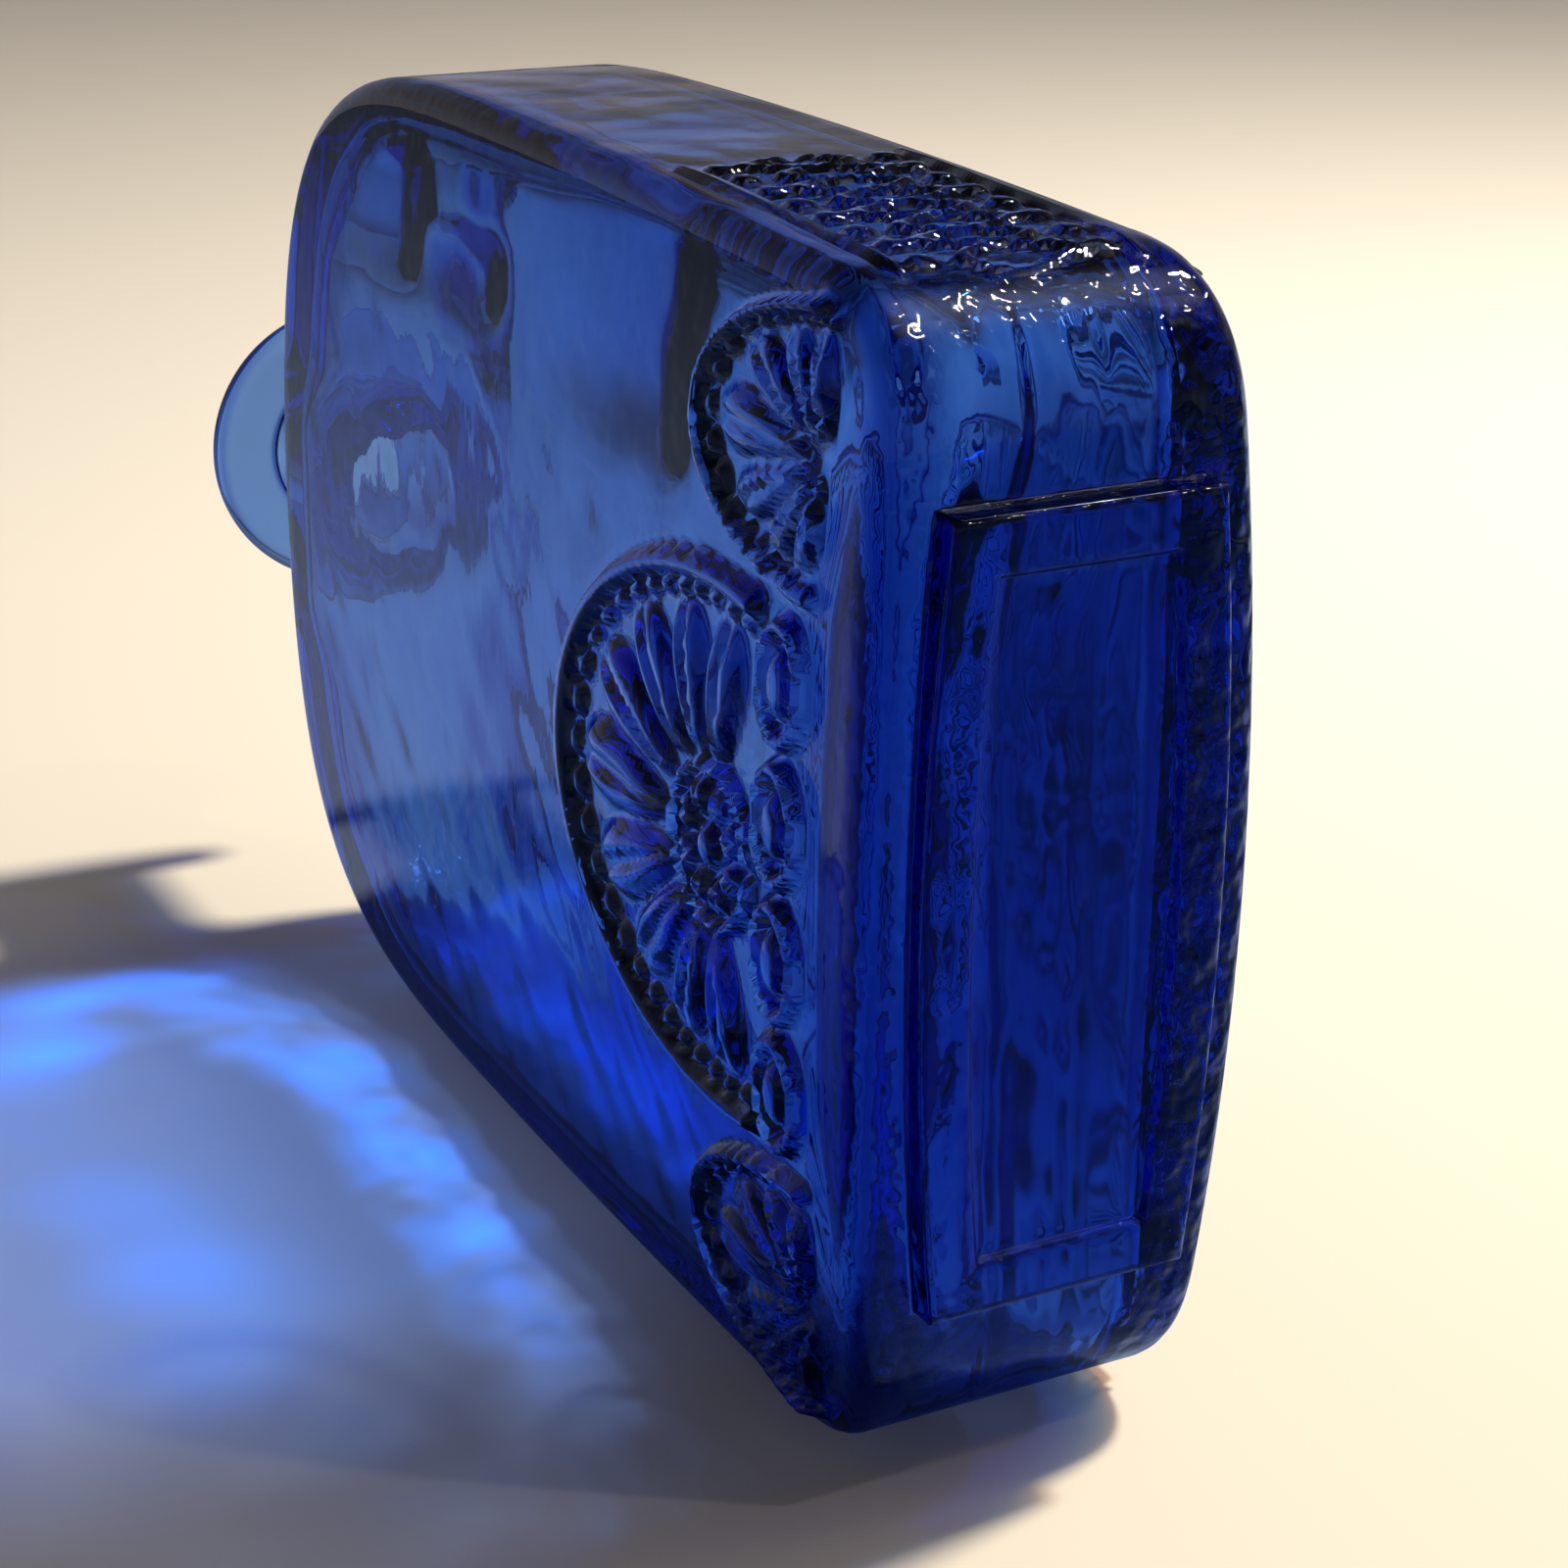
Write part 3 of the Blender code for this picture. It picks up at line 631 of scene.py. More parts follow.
def make_foot(glass, hole):
    """The raised slab on the base: a fillet, its side wall, a bevel, the frame and the shallow recess."""
    border, u, w = hole
    half_length = FOOT_LENGTH / 2
    face_x = BASE_X - FOOT_FACE

    def loop(inset, drop=None, rise=None):
        """A loop drawn in by inset, at a drop below the slab's face or a rise above the base."""
        h = u * (half_length - inset)
        y = w * (FOOT_THICKNESS / 2 + FOOT_BOW * (1 - (h / half_length) ** 2) - inset)
        x = BASE_X + base_swell(h) + rise if drop is None else face_x - drop + 0 * h
        return glass.add(np.stack([x, y, AXIS_HEIGHT + h], axis=1))

    quarter = np.radians(np.linspace(0, 90, FOOT_ROUND_STEPS + 1))
    rings = [border]
    rings += [loop(FOOT_FILLET * (math.sin(t) - 1), rise=FOOT_FILLET * (1 - math.cos(t))) for t in quarter]
    rings += [loop(FOOT_BEVEL * (1 - math.cos(t)), drop=FOOT_BEVEL * (1 - math.sin(t))) for t in quarter]
    rings += [loop(inset, drop=0) for inset in spaced(FOOT_BEVEL, FOOT_BORDER, FOOT_SPACING)[1:]]
    for share in np.linspace(0, 1, RECESS_STEPS + 1)[1:]:
        drop = RECESS_DEPTH * (1 - math.cos(math.pi * share)) / 2
        rings.append(loop(FOOT_BORDER + share * RECESS_SLOPE, drop=drop))
    floor = spaced(FOOT_BORDER + RECESS_SLOPE, FOOT_THICKNESS / 2 - FOOT_BEVEL, FOOT_SPACING)
    rings += [loop(inset, drop=RECESS_DEPTH) for inset in floor[1:]]
    for first, second in zip(rings, rings[1:]):
        glass.strip(first, second)
    glass.close(rings[-1], (face_x - RECESS_DEPTH, 0, AXIS_HEIGHT))


def neck_profile():
    """Points (s, distance from the axis) from the shoulder over the lip and down the bore."""
    spread = NECK_ROOT_RADIUS - NECK_RADIUS
    profile = []
    for share in np.linspace(0, 1, ROOT_STEPS + 1):
        profile.append((BODY_LENGTH + share * NECK_ROOT_LENGTH, NECK_RADIUS + spread * (1 - share) ** 2))
    fillet_s = LIP_START - LIP_FILLET
    profile += [(s, NECK_RADIUS) for s in spaced(profile[-1][0], fillet_s, TURNED_SPACING)[1:]]
    profile += arc((fillet_s, NECK_RADIUS + LIP_FILLET), LIP_FILLET, -90, 0, FILLET_STEPS)[1:]
    edge = LIP_RADIUS - LIP_ROUND
    profile += [(LIP_START, r) for r in spaced(NECK_RADIUS + LIP_FILLET, edge, TURNED_SPACING)[1:]]
    profile += arc((LIP_START + LIP_ROUND, edge), LIP_ROUND, 180, 90, LIP_STEPS)[1:]
    profile += arc((MOUTH - LIP_ROUND, edge), LIP_ROUND, 90, 0, LIP_STEPS)
    profile += [(MOUTH, r) for r in spaced(edge, MOUTH_RADIUS + MOUTH_ROUND, TURNED_SPACING)[1:]]
    profile += arc((MOUTH - MOUTH_ROUND, MOUTH_RADIUS + MOUTH_ROUND), MOUTH_ROUND, 0, -90, MOUTH_STEPS)[1:]
    taper_end = MOUTH - MOUTH_ROUND - BORE_TAPER
    for share in np.linspace(0, 1, TAPER_STEPS + 1)[1:]:
        radius = MOUTH_RADIUS + (BORE_RADIUS - MOUTH_RADIUS) * (1 - math.cos(math.pi * share)) / 2
        profile.append((MOUTH - MOUTH_ROUND - share * BORE_TAPER, radius))
    flare_s = BODY_LENGTH - WALL + BORE_FLARE
    profile += [(s, BORE_RADIUS) for s in spaced(taper_end, flare_s, TURNED_SPACING)[1:]]
    profile += arc((flare_s, BORE_RADIUS + BORE_FLARE), BORE_FLARE, -90, -180, FLARE_STEPS)[1:]
    return profile


def make_neck(glass, neck_hole, bore_hole):
    """The neck, the lip and the bore, turned about the axis between the holes of the two skins."""
    border = neck_hole[0]
    turns = glass.angles(border)
    rings = [border]
    for s, radius in neck_profile():
        x = BASE_X - s + 0 * turns
        places = np.stack([x, radius * np.sin(turns), AXIS_HEIGHT + radius * np.cos(turns)], axis=1)
        rings.append(glass.add(places))
    for first, second in zip(rings, rings[1:]):
        glass.strip(first, second)
    glass.stitch(rings[-1], turns, bore_hole[0], glass.angles(bore_hole[0]))


def build_glass():
    """The whole bottle as one closed skin of glass, outside and inside."""
    outline = HalfOutline()
    glass = Glass()
    foot_hole, neck_hole = make_skin(
        glass, outline, (0, 0), RIM_RADIUS, (FINE, COARSE), BAND_STEPS,
        (FOOT_HOLE_HALF, NECK_HOLE_HALF), 1.0,
    )
    bore_hole, = make_skin(
        glass, outline, (WALL, BASE_WALL), INNER_RIM_RADIUS, (HOLLOW_SPACING, COARSE), HOLLOW_BAND_STEPS,
        (None, BORE_HOLE_HALF), 0.0,
    )
    make_foot(glass, foot_hole)
    make_neck(glass, neck_hole, bore_hole)
    return glass.mesh("glass_bottle")


def colour(code):
    """An sRGB hex value as linear red, green, blue and full alpha."""
    channels = [int(code[i:i + 2], 16) / 255 for i in (0, 2, 4)]
    linear = [c / 12.92 if c <= 0.04045 else ((c + 0.055) / 1.055) ** 2.4 for c in channels]
    return (*linear, 1)


def add(tree, kind, inputs=(), **settings):
    """Adds a node with its settings. Inputs go by place or name: a number, a colour, a node or a socket."""
    node = tree.nodes.new(kind)
    for name, value in settings.items():
        setattr(node, name, value)
    pairs = inputs.items() if isinstance(inputs, dict) else enumerate(inputs)
    for key, value in pairs:
        if isinstance(value, bpy.types.Node):
            tree.links.new(value.outputs[0], node.inputs[key])
        elif isinstance(value, bpy.types.NodeSocket):
            tree.links.new(value, node.inputs[key])
        elif value is not None:
            node.inputs[key].default_value = value
    return node


def calc(tree, operation, *values, clamp=False):
    """A number worked out from others."""
    return add(tree, "ShaderNodeMath", values, operation=operation, use_clamp=clamp)


def ranged(tree, value, start, end, share_at_start=0.0, share_at_end=1.0):
    """A share that runs evenly from one end of a range to the other, and stays at its ends outside it."""
    return add(tree, "ShaderNodeMapRange", (value, start, end, share_at_start, share_at_end))


def soft_noise(tree, where, fineness, detail, roughness, swirl=0.0):
    noise = {"Vector": where, "Scale": fineness, "Detail": detail, "Roughness": roughness}
    return add(tree, "ShaderNodeTexNoise", {**noise, "Distortion": swirl})


def dome(tree, across, along):
    """A rounded swelling that ends where the squares of the two shares add up to one."""
    square = calc(tree, "MULTIPLY", across, across)
    spent = calc(tree, "MULTIPLY_ADD", along, along, square)
    left = calc(tree, "SUBTRACT", 1.0, spent, clamp=True)
    rest = calc(tree, "SUBTRACT", 2.0, left)
    return calc(tree, "MULTIPLY", left, rest)


def share_of(tree, value, middle, half):
    """How far a value is from a middle, in half breadths."""
    off = calc(tree, "SUBTRACT", value, middle)
    return calc(tree, "DIVIDE", off, half)


def ridge(tree, distance, half):
    return dome(tree, calc(tree, "DIVIDE", distance, half), 0.0)


def highest(tree, heights):
    top = heights[0]
    for height in heights[1:]:
        top = calc(tree, "MAXIMUM", top, height)
    return top


def fan(tree, along, across, reach, half_breadth, leaves, spread, start_share):
    """Leaves that spread from a centre, a groove down each, with a row of beads and a rolled border.

    along and across are the place, measured from the fan's centre.
    """
    u = calc(tree, "DIVIDE", along, reach)
    w = calc(tree, "DIVIDE", across, half_breadth)
    square = calc(tree, "MULTIPLY", w, w)
    squares = calc(tree, "MULTIPLY_ADD", u, u, square)
    out_share = calc(tree, "SQRT", squares)
    angle = calc(tree, "ARCTAN2", across, along)
    turn = calc(tree, "MULTIPLY_ADD", angle, 0.5 / spread, 0.5)
    count = calc(tree, "MULTIPLY", turn, leaves)
    leaf_share = calc(tree, "SUBTRACT", calc(tree, "FRACT", count), 0.5)

    leaf_across = calc(tree, "DIVIDE", leaf_share, LEAF_HALF)
    leaf_along = share_of(tree, out_share, (LEAF_TIP + start_share) / 2, (LEAF_TIP - start_share) / 2)
    leaf = dome(tree, leaf_across, leaf_along)
    groove = ridge(tree, leaf_share, GROOVE_HALF)
    groove = calc(tree, "MULTIPLY_ADD", groove, -GROOVE_DEPTH, 1.0)
    leaf = calc(tree, "MULTIPLY", leaf, groove)

    bead_count = calc(tree, "MULTIPLY", count, BEADS_PER_LEAF)
    bead_across = share_of(tree, calc(tree, "FRACT", bead_count), 0.5, BEAD_HALF)
    bead_along = share_of(tree, out_share, BEAD_PLACE, BEAD_REACH)
    beads = calc(tree, "MULTIPLY", dome(tree, bead_across, bead_along), BEAD_HEIGHT)
    border = ridge(tree, calc(tree, "SUBTRACT", out_share, BORDER_PLACE), BORDER_HALF)

    figure = highest(tree, [leaf, beads, border])
    off_axis = calc(tree, "ABSOLUTE", angle)
    within = calc(tree, "LESS_THAN", off_axis, spread)
    return calc(tree, "MULTIPLY", figure, within)


def oval_row(tree, s, h, sizes):
    """A row of ovals across the face, each a rim round an egg."""
    count = calc(tree, "DIVIDE", h, sizes["Oval spacing"])
    cell = calc(tree, "FRACT", count)
    from_middle = calc(tree, "SUBTRACT", cell, 0.5)
    cell_h = calc(tree, "MULTIPLY", from_middle, sizes["Oval spacing"])
    half_length = calc(tree, "MULTIPLY", sizes["Oval length"], 0.5)
    half_breadth = calc(tree, "MULTIPLY", sizes["Oval width"], 0.5)
    u = calc(tree, "DIVIDE", cell_h, half_length)
    w = share_of(tree, s, sizes["Oval place"], half_breadth)
    square = calc(tree, "MULTIPLY", u, u)
    squares = calc(tree, "MULTIPLY_ADD", w, w, square)
    out_share = calc(tree, "SQRT", squares)
    rim = ridge(tree, calc(tree, "SUBTRACT", out_share, OVAL_RIM), OVAL_RIM_HALF)
    egg = ridge(tree, out_share, EGG_HALF)
    row_length = calc(tree, "MULTIPLY", sizes["Oval spacing"], sizes["Ovals"])
    row_half = calc(tree, "MULTIPLY", row_length, 0.5)
    in_row = calc(tree, "LESS_THAN", calc(tree, "ABSOLUTE", h), row_half)
    return calc(tree, "MULTIPLY", highest(tree, [rim, egg]), in_row)


def face_figures(tree, s, h, sizes):
    """The broad faces: a palmette round a rosette, a row of ovals and two shells."""
    rosette_s = calc(tree, "SUBTRACT", s, sizes["Rosette place"])
    radius = sizes["Rosette radius"]
    rosette = fan(tree, rosette_s, h, radius, radius, sizes["Petals"], math.pi, BOSS_SHARE)
    h_square = calc(tree, "MULTIPLY", h, h)
    squares = calc(tree, "MULTIPLY_ADD", rosette_s, rosette_s, h_square)
    away = calc(tree, "SQRT", squares)
    boss = ridge(tree, away, calc(tree, "MULTIPLY", radius, BOSS_SHARE))
    outside = calc(tree, "GREATER_THAN", away, radius)
    palmette = fan(
        tree, rosette_s, h, sizes["Palmette reach"], sizes["Palmette half width"],
        sizes["Palmette leaves"], PALMETTE_SPREAD, PALMETTE_START,
    )
    palmette = calc(tree, "MULTIPLY", palmette, outside)
    ovals = oval_row(tree, s, h, sizes)
    shell_s = calc(tree, "SUBTRACT", s, sizes["Shell start"])
    off_axis = calc(tree, "ABSOLUTE", h)
    shell_h = calc(tree, "SUBTRACT", off_axis, sizes["Shell place"])
    shells = fan(
        tree, shell_s, shell_h, sizes["Shell reach"], sizes["Shell half width"],
        sizes["Shell flutes"], SHELL_SPREAD, SHELL_START,
    )
    return highest(tree, [rosette, boss, palmette, ovals, shells])


def side_figures(tree, s, y, sizes):
    """The narrow sides: a wave scroll with buds in its hollows, between two plain lines."""
    along = share_of(tree, s, sizes["Scroll start"], sizes["Scroll length"])
    turns = calc(tree, "MULTIPLY", along, sizes["Scroll waves"])
    wave = calc(tree, "SINE", calc(tree, "MULTIPLY", turns, math.tau))
    across = calc(tree, "DIVIDE", y, sizes["Scroll width"])
    stem = ridge(tree, calc(tree, "MULTIPLY_ADD", wave, -STEM_SWING, across), STEM_HALF)
    vine = ridge(tree, calc(tree, "MULTIPLY_ADD", wave, VINE_SWING, across), VINE_HALF)
    bud_share = calc(tree, "FRACT", calc(tree, "MULTIPLY", turns, 2.0))
    bud_along = share_of(tree, bud_share, 0.5, BUD_REACH)
    off_axis = calc(tree, "ABSOLUTE", across)
    bud_across = share_of(tree, off_axis, BUD_PLACE, BUD_HALF)
    buds = dome(tree, bud_across, bud_along)
    lines = ridge(tree, calc(tree, "SUBTRACT", off_axis, LINE_PLACE), LINE_HALF)
    from_middle = calc(tree, "SUBTRACT", along, 0.5)
    ends = calc(tree, "ABSOLUTE", from_middle)
    inside = calc(tree, "LESS_THAN", ends, 0.5)
    return calc(tree, "MULTIPLY", highest(tree, [stem, vine, buds, lines]), inside)


def ornament_tree():
    """Raises the ornament on the moulded skin, straight out of the broad faces and the narrow sides."""
    tree = bpy.data.node_groups.new("raised_ornament", "GeometryNodeTree")
    tree.interface.new_socket("Glass", in_out="INPUT", socket_type="NodeSocketGeometry")
    for name in ORNAMENT:
        tree.interface.new_socket(name, in_out="INPUT", socket_type="NodeSocketFloat")
    tree.interface.new_socket("Material", in_out="INPUT", socket_type="NodeSocketMaterial")
    tree.interface.new_socket("Glass", in_out="OUTPUT", socket_type="NodeSocketGeometry")
    sizes = add(tree, "NodeGroupInput").outputs
    x, y, z = add(tree, "ShaderNodeSeparateXYZ", (add(tree, "GeometryNodeInputPosition"),)).outputs
    facing = add(tree, "ShaderNodeSeparateXYZ", (add(tree, "GeometryNodeInputNormal"),)).outputs
    s = calc(tree, "SUBTRACT", BASE_X, x)
    h = calc(tree, "SUBTRACT", z, AXIS_HEIGHT)
    moulded = add(tree, "GeometryNodeInputNamedAttribute", {"Name": "moulded"}, data_type="FLOAT")

    figures = face_figures(tree, s, h, sizes)
    face_height = calc(tree, "MULTIPLY", figures, sizes["Figure height"])
    on_face = ranged(tree, calc(tree, "ABSOLUTE", facing["Y"]), *ON_FACE)
    face_height = calc(tree, "MULTIPLY", face_height, on_face)
    outwards = calc(tree, "SIGN", y)
    face_offset = calc(tree, "MULTIPLY", face_height, outwards)

    scroll = side_figures(tree, s, y, sizes)
    off_axis = calc(tree, "ABSOLUTE", h)
    room = calc(tree, "SUBTRACT", HALF_WIDTH, off_axis)
    lower = calc(tree, "MINIMUM", room, sizes["Scroll height"])
    side_height = calc(tree, "MULTIPLY", scroll, lower)
    on_side = ranged(tree, calc(tree, "ABSOLUTE", facing["Z"]), *ON_SIDE)
    side_height = calc(tree, "MULTIPLY", side_height, on_side)
    outwards = calc(tree, "SIGN", h)
    side_offset = calc(tree, "MULTIPLY", side_height, outwards)

    offset = add(tree, "ShaderNodeCombineXYZ", (0.0, face_offset, side_offset))
    raised = add(tree, "ShaderNodeVectorMath", {0: offset, "Scale": moulded}, operation="SCALE")
    glass = add(tree, "GeometryNodeSetPosition", {"Geometry": sizes["Glass"], "Offset": raised})
    glass = add(tree, "GeometryNodeRealizeInstances", (glass,))
    glass = add(tree, "GeometryNodeSetMaterial", {"Geometry": glass, "Material": sizes["Material"]})
    add(tree, "NodeGroupOutput", (glass,))
    return tree


def raise_ornament(mesh, material):
    """Runs the ornament tree on the glass and returns the plain mesh that comes out."""
    plain = bpy.data.objects.new("plain_glass", mesh)
    bpy.context.scene.collection.objects.link(plain)
    modifier = plain.modifiers.new("raised_ornament", "NODES")
    modifier.node_group = ornament_tree()
    items = modifier.node_group.interface.items_tree
    inputs = {item.name: item.identifier for item in items if item.in_out == "INPUT"}
    for name, value in ORNAMENT.items():
        modifier[inputs[name]] = float(value)
    modifier[inputs["Material"]] = material
    evaluated = plain.evaluated_get(bpy.context.evaluated_depsgraph_get())
    raised = bpy.data.meshes.new_from_object(evaluated)
    bpy.data.objects.remove(plain)
    raised.name = "glass_bottle"
    raised.shade_smooth()
    return raised


def new_material(name):
    material = bpy.data.materials.new(name)
    material.use_nodes = True
    material.node_tree.nodes.clear()
    return material, material.node_tree


def tinted(tree, share, first, second):
    """The first colour where the share is 0, the second where it is 1.

    A Mix node's inputs go by number: 0 the share, 2 and 3 numbers, 4 and 5 vectors, 6 and 7 colours.
    """
    mixed = add(tree, "ShaderNodeMix", {0: share, 6: first, 7: second}, data_type="RGBA")
    return mixed.outputs[2]


def pressed(tree, where, pattern, skin=None, share=None):
    """The skin with one more pattern pressed in, which fades with the share."""
    *grain, depth, strength = pattern
    height = soft_noise(tree, where, *grain)
    if share is not None:
        height = calc(tree, "MULTIPLY", height, share)
    bump = {"Height": height, "Distance": depth, "Strength": strength, "Normal": skin}
    return add(tree, "ShaderNodeBump", bump)


def glass_skin(tree, where, y, upward):
    """Slow waves and fine streaks left by the mould, with hammered glass round the foot's recess."""
    stretched = add(tree, "ShaderNodeMapping", {"Vector": where, "Scale": STREAK_STRETCH})
    skin = pressed(tree, stretched, SLOW_WAVES)
    skin = pressed(tree, where, TOP_RIPPLES, skin, upward)
    skin = pressed(tree, stretched, FINE_STREAKS, skin)
    x = add(tree, "ShaderNodeSeparateXYZ", (where,)).outputs["X"]
    on_base = ranged(tree, x, HAMMERED_X - HAMMERED_FADE, HAMMERED_X)
    drawn = add(tree, "ShaderNodeMapping", {"Vector": where, "Rotation": DRAWN_TURN, "Scale": DRAWN_STRETCH})
    skin = pressed(tree, drawn, DRAWN_STREAKS, skin, on_base)
    on_frame = ranged(tree, calc(tree, "ABSOLUTE", y), *FRAME_FADE)
    rough_half = ranged(tree, y, *ROUGH_HALF_FADE)
    on_frame = calc(tree, "MULTIPLY", on_frame, rough_half)
    on_frame = calc(tree, "MULTIPLY", on_frame, on_base)
    return pressed(tree, where, HAMMERING, skin, on_frame)


def painted_table_light(tree, where, x, y, z):
    """How much of the lamp's light the front wall lets through to the table, and where it gathers it.

    The light that the walls bend is painted here, not traced: a painted bright band that follows the body's
    outline, with a paler pool inside it, and painted shade at the base end, where little gets through, and
    at the neck.
    """
    s = calc(tree, "SUBTRACT", BASE_X, x)
    h = calc(tree, "SUBTRACT", z, AXIS_HEIGHT)
    u = share_of(tree, s, BODY_LENGTH / 2, BAND_LENGTH / 2)
    w = calc(tree, "DIVIDE", h, BAND_WIDTH / 2)
    u = calc(tree, "POWER", calc(tree, "ABSOLUTE", u), BAND_EXPONENT)
    w = calc(tree, "POWER", calc(tree, "ABSOLUTE", w), BAND_EXPONENT)
    powers = calc(tree, "ADD", u, w)
    out_share = calc(tree, "POWER", powers, 1 / BAND_EXPONENT)
    *grain, reach = BAND_DRIFT
    drift = soft_noise(tree, where, *grain)
    out_share = calc(tree, "MULTIPLY_ADD", drift, reach, out_share)
    band = ridge(tree, calc(tree, "SUBTRACT", out_share, BAND_PLACE), BAND_HALF)
    patchy = ranged(tree, soft_noise(tree, where, *BAND_PATCHES), *PATCH_LIGHT)
    band = calc(tree, "MULTIPLY", band, patchy)
    inside = ranged(tree, out_share, *POOL_LIGHT)
    rising = ranged(tree, h, *POOL_RISE)
    pool = calc(tree, "MULTIPLY", inside, rising)
    both = calc(tree, "MAXIMUM", band, pool)
    on_back = calc(tree, "GREATER_THAN", y, 0.0)
    through = calc(tree, "MAXIMUM", both, on_back)
    through = calc(tree, "MULTIPLY", through, ranged(tree, s, *BASE_SHADE))
    return calc(tree, "MULTIPLY", through, ranged(tree, s, *NECK_SHADE))


def painted_glass_shade(tree, z, facing, on_base, in_recess):
    """Painted shade in the surface colour: darker and duller on the base, darker still in its recess, and a
    darker blue along rims and the slopes of the ornament.
    """
    base_shade = calc(tree, "MULTIPLY", ranged(tree, z, *BASE_SHADE_RISE), on_base)
    recess_shade = calc(tree, "MULTIPLY", base_shade, in_recess)
    across_square = calc(tree, "MULTIPLY", facing["Y"], facing["Y"])
    rest = calc(tree, "SUBTRACT", 1.0, across_square)
    slant = calc(tree, "MULTIPLY", across_square, rest)
    # Painted shade where the skin slants halfway between the broad faces and the rest: along rims and on
    # ornament slopes.
    rim = calc(tree, "MULTIPLY", slant, RIM_SHADE_GAIN, clamp=True)
    tint = tinted(tree, base_shade, colour(CLEAR_TINT), colour(BASE_PAINTED_SHADE))
    tint = tinted(tree, recess_shade, tint, colour(RECESS_PAINTED_SHADE))
    return tinted(tree, rim, tint, colour(RIM_PAINTED_SHADE))


def cobalt_glass():
    """Soda-lime glass coloured with cobalt, blown in a mould and fire polished.

    Thin walls look pale blue and thick ones almost black, because the colour is in its depth; painted shade
    in the surface colour darkens the base, its recess and the rims further.
    The skin is glossy, with slow waves left by the mould and small sparkles where it is uneven.
    """
    material, tree = new_material("cobalt_glass")
    coordinates = add(tree, "ShaderNodeTexCoord").outputs
    where = coordinates["Object"]
    x, y, z = add(tree, "ShaderNodeSeparateXYZ", (where,)).outputs
    facing = add(tree, "ShaderNodeSeparateXYZ", (coordinates["Normal"],)).outputs
    on_base = ranged(tree, x, HAMMERED_X - BASE_FADE, HAMMERED_X)
    in_recess = ranged(tree, calc(tree, "ABSOLUTE", y), *RECESS_FADE)
    dull = calc(tree, "MULTIPLY", on_base, in_recess)
    level = calc(tree, "ABSOLUTE", facing["Z"])
    upward = calc(tree, "POWER", level, UPWARD_FOCUS)
    glass = add(tree, "ShaderNodeBsdfPrincipled", {
        # Base Color: painted shade on the base, its recess and the rims
        "Base Color": painted_glass_shade(tree, z, facing, on_base, in_recess),
        "Transmission Weight": 1.0,
        "IOR": GLASS_IOR,
        "Roughness": calc(tree, "MULTIPLY", dull, RECESS_ROUGHNESS),
        "Normal": glass_skin(tree, where, y, upward),
        "Specular Tint": colour(MIRROR_TINT),
        "Coat Weight": SPARKLE_WEIGHT,
        "Coat Roughness": SPARKLE_ROUGHNESS,
        "Coat IOR": SPARKLE_IOR,
        "Coat Normal": pressed(tree, where, SPARKLES),
    })
    # Shadow rays and light bounced off the table pass the glass as a clear surface that carries the painted
    # light and shadow, in place of bending through it.
    gathered = painted_table_light(tree, where, x, y, z)
    bright = ranged(tree, gathered, *STREAK_START)
    painted_light_tint = add(tree, "ShaderNodeMix", {0: bright, 4: HAZE_TINT, 5: STREAK_TINT}, data_type="VECTOR")
    gathered = calc(tree, "SQRT", gathered)
    painted_light_colour = add(tree, "ShaderNodeVectorMath", {0: painted_light_tint.outputs[1], "Scale": gathered}, operation="SCALE")
    clear = add(tree, "ShaderNodeBsdfTransparent", {"Color": painted_light_colour})
    path = add(tree, "ShaderNodeLightPath").outputs
    from_table = calc(tree, "MAXIMUM", path["Is Shadow Ray"], path["Is Diffuse Ray"])
    surface = add(tree, "ShaderNodeMixShader", (from_table, glass, clear))
    depth = add(tree, "ShaderNodeVolumeAbsorption", {"Color": DEPTH_COLOUR, "Density": DEPTH_DENSITY})
    add(tree, "ShaderNodeOutputMaterial", {"Surface": surface, "Volume": depth})
    return material


def pale_table():
    """A matt painted table, warm white, with painted light that makes it brighter towards -X; the glass's
    mirror image of it is a painted reflection, duller and bluer.
    """
    material, tree = new_material("pale_table")
    where = add(tree, "ShaderNodeTexCoord").outputs["Object"]
    x = add(tree, "ShaderNodeSeparateXYZ", (where,)).outputs["X"]
    # Painted light: the paint is brighter towards -X.
    left = ranged(tree, x, *PAINTED_LIGHT_FADE)
    paint_and_painted_light = tinted(tree, left, colour(PAINT_RIGHT), colour(PAINTED_LIGHT_LEFT))
    # Painted reflection: rays mirrored by the glass see a duller, bluer table.
    right = ranged(tree, x, *PAINTED_REFLECTION_FADE)
    painted_reflection_colour = tinted(tree, right, colour(PAINTED_REFLECTION_LEFT), colour(PAINTED_REFLECTION_RIGHT))
    mirrored = add(tree, "ShaderNodeLightPath").outputs["Is Glossy Ray"]
    seen = tinted(tree, mirrored, paint_and_painted_light, painted_reflection_colour)
    paint = add(tree, "ShaderNodeBsdfPrincipled", {"Base Color": seen, "Roughness": PAINT_ROUGHNESS})
    add(tree, "ShaderNodeOutputMaterial", {"Surface": paint})
    return material


def make_bottle():
    mesh = raise_ornament(build_glass(), cobalt_glass())
    bottle = bpy.data.objects.new("glass_bottle", mesh)
    bpy.context.scene.collection.objects.link(bottle)
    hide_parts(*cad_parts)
    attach(bottle, "root")
    return bottle


def make_table():
    half = TABLE_HALF
    corners = [(-half, -half, 0), (half, -half, 0), (half, half, 0), (-half, half, 0)]
    mesh = bpy.data.meshes.new("table")
    mesh.from_pydata(corners, [], [(0, 1, 2, 3)])
    mesh.materials.append(pale_table())
    table = bpy.data.objects.new("table", mesh)
    table.location.z = -TABLE_GAP
    bpy.context.scene.collection.objects.link(table)


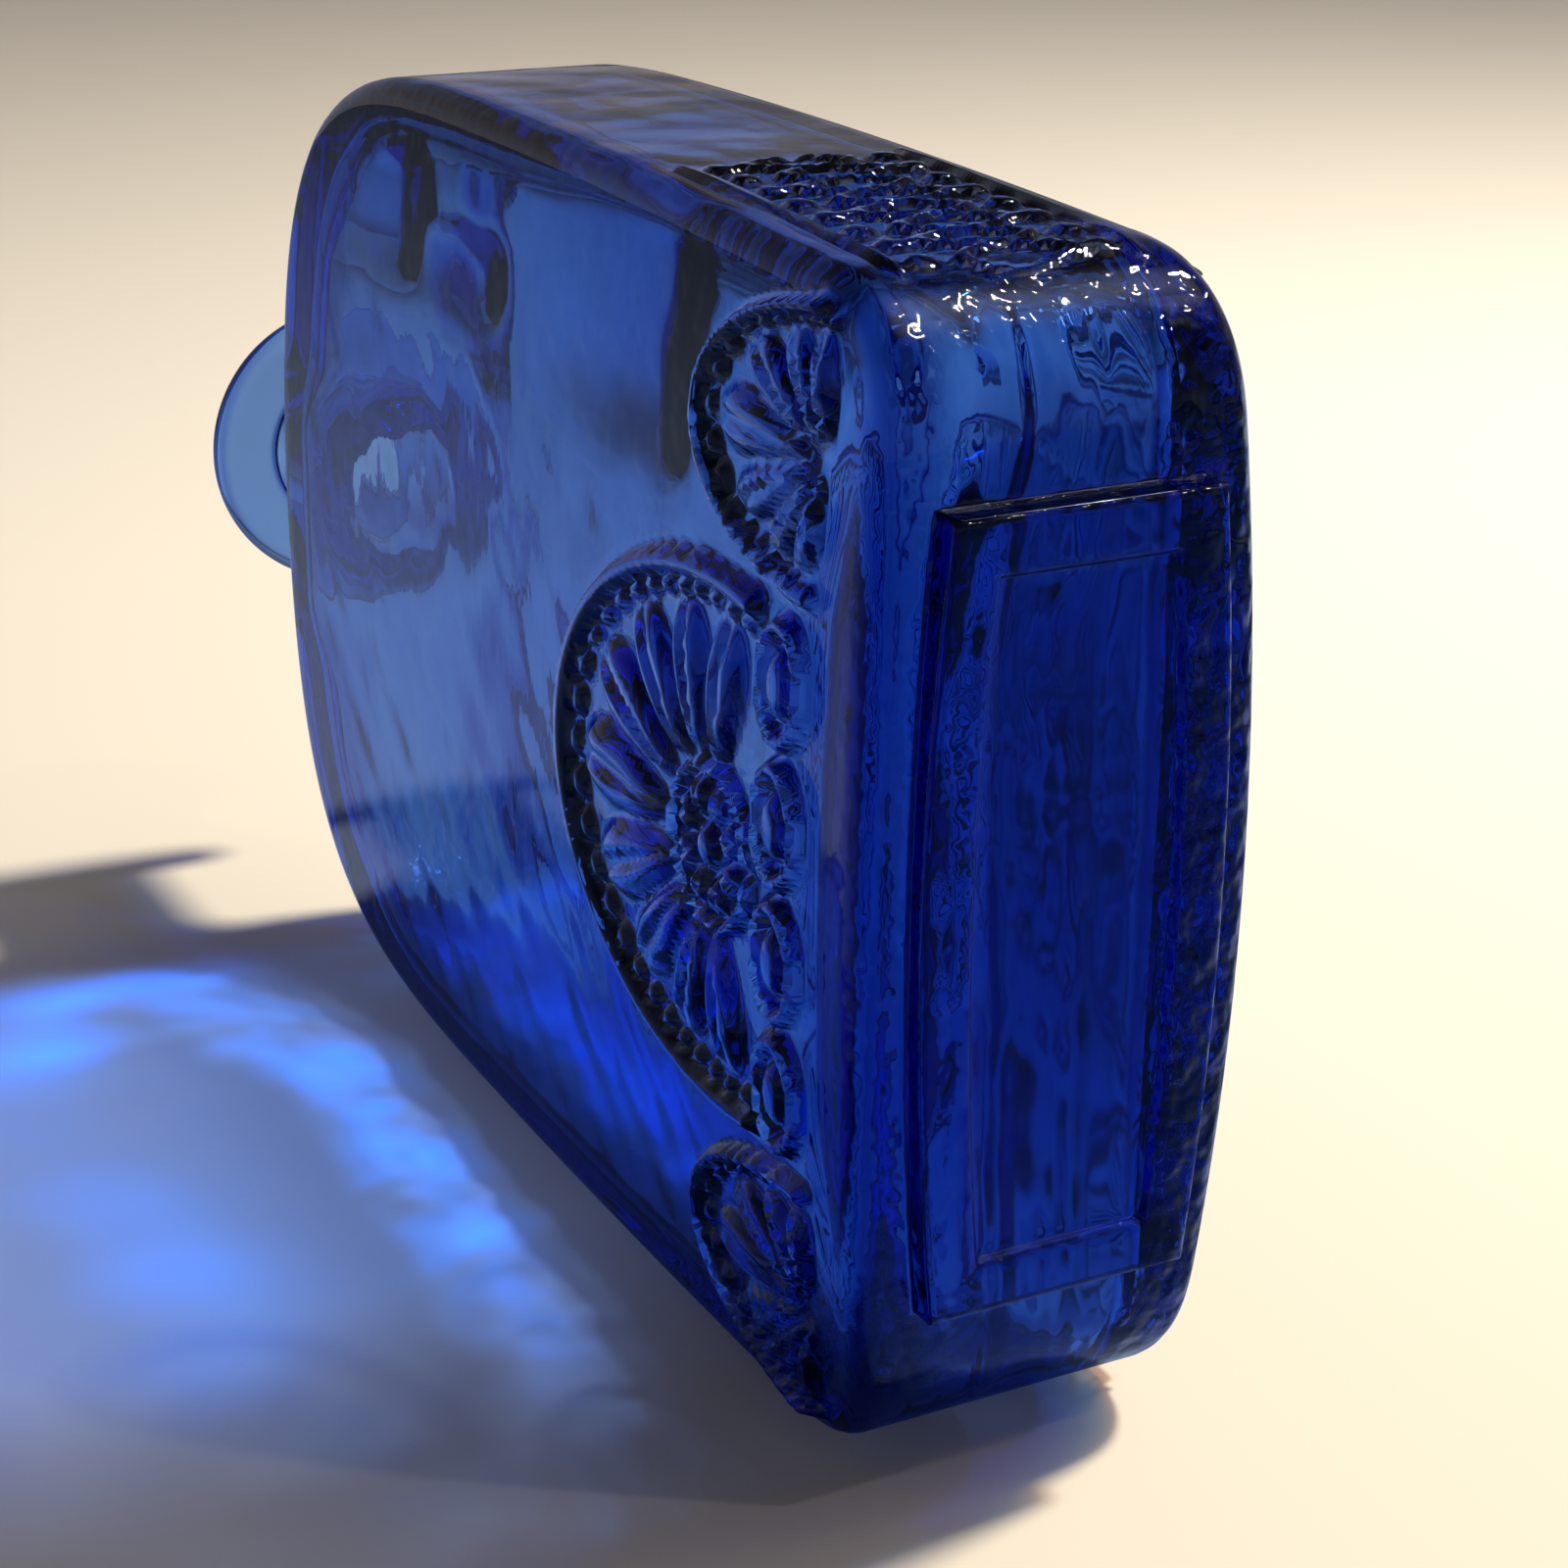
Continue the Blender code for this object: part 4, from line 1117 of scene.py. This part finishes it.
def make_world():
    """A dim room with a pale horizon. The glass mirrors its soft patches; from outside it looks plain."""
    world = bpy.data.worlds.new("room")
    bpy.context.scene.world = world
    world.use_nodes = True
    tree = world.node_tree
    tree.nodes.clear()
    direction = add(tree, "ShaderNodeTexCoord").outputs["Generated"]
    up = add(tree, "ShaderNodeSeparateXYZ", (direction,)).outputs["Z"]
    ramp = add(tree, "ShaderNodeValToRGB", (up,))
    horizon, ceiling = ramp.color_ramp.elements
    horizon.position = 0.0
    horizon.color = colour(HORIZON_COLOUR)
    ceiling.position = CEILING_START
    ceiling.color = colour(CEILING_COLOUR)
    patches = ranged(tree, soft_noise(tree, direction, *ROOM_PATCHES), *PATCH_EDGE)
    seen_plain = add(tree, "ShaderNodeLightPath").outputs["Is Camera Ray"]
    patches = add(tree, "ShaderNodeMix", {0: seen_plain, 2: patches, 3: PLAIN_SHARE})
    walls = tinted(tree, patches, colour(WARM_PATCH), colour(COOL_PATCH))
    room = add(tree, "ShaderNodeMix", {0: 1.0, 6: ramp, 7: walls}, data_type="RGBA", blend_type="MULTIPLY")
    sky = add(tree, "ShaderNodeBackground", {"Color": room.outputs[2], "Strength": ROOM_STRENGTH})
    towards = add(tree, "ShaderNodeVectorMath", {0: direction, 1: GLOW_DIRECTION}, operation="DOT_PRODUCT")
    ahead = calc(tree, "MAXIMUM", towards.outputs["Value"], 0.0)
    glow = calc(tree, "POWER", ahead, GLOW_FOCUS)
    strength = calc(tree, "MULTIPLY", glow, GLOW_STRENGTH)
    glowing = add(tree, "ShaderNodeBackground", {"Color": colour(GLOW_COLOUR), "Strength": strength})
    both = add(tree, "ShaderNodeAddShader", (sky, glowing))
    add(tree, "ShaderNodeOutputWorld", (both,))


def add_lamp(name, position, aim, size, power, tint):
    data = bpy.data.lights.new(name, "AREA")
    data.shape = "DISK"
    data.size = size
    data.energy = power
    data.color = colour(tint)[:3]
    lamp = bpy.data.objects.new(name, data)
    lamp.location = position
    lamp.rotation_euler = (Vector(aim) - Vector(position)).to_track_quat("-Z", "Y").to_euler()
    bpy.context.scene.collection.objects.link(lamp)


def make_camera():
    sine, cosine = math.sin(CAMERA_AZIMUTH), math.cos(CAMERA_AZIMUTH)
    level = math.cos(CAMERA_ELEVATION)
    away = Vector((sine * level, -cosine * level, math.sin(CAMERA_ELEVATION)))
    right = Vector((cosine, sine, 0))
    up = away.cross(right)
    turned = Matrix((right, up, away)).transposed() @ Matrix.Rotation(CAMERA_ROLL, 3, "Z")
    data = bpy.data.cameras.new("camera")
    data.sensor_width = SENSOR_MM
    data.lens = FOCAL_SHARE * SENSOR_MM
    data.clip_start = NEAREST
    camera = bpy.data.objects.new("camera", data)
    camera.matrix_world = Matrix.Translation(LOOK_AT + CAMERA_DISTANCE * away) @ turned.to_4x4()
    bpy.context.scene.collection.objects.link(camera)
    bpy.context.scene.camera = camera


make_bottle()
make_table()
make_world()
add_lamp(
    "table_lamp", position=(0.0, 0.73, 1.04), aim=(0, 0, 0.07), size=0.12, power=19.0, tint="fff3e0",
)
add_lamp(
    "ceiling_spot", position=(0.545, 0.53, 1.11), aim=(0.118, 0, 0.12), size=0.03, power=0.6, tint="fff5e4",
)
make_camera()
bpy.context.scene.view_settings.view_transform = "Standard"
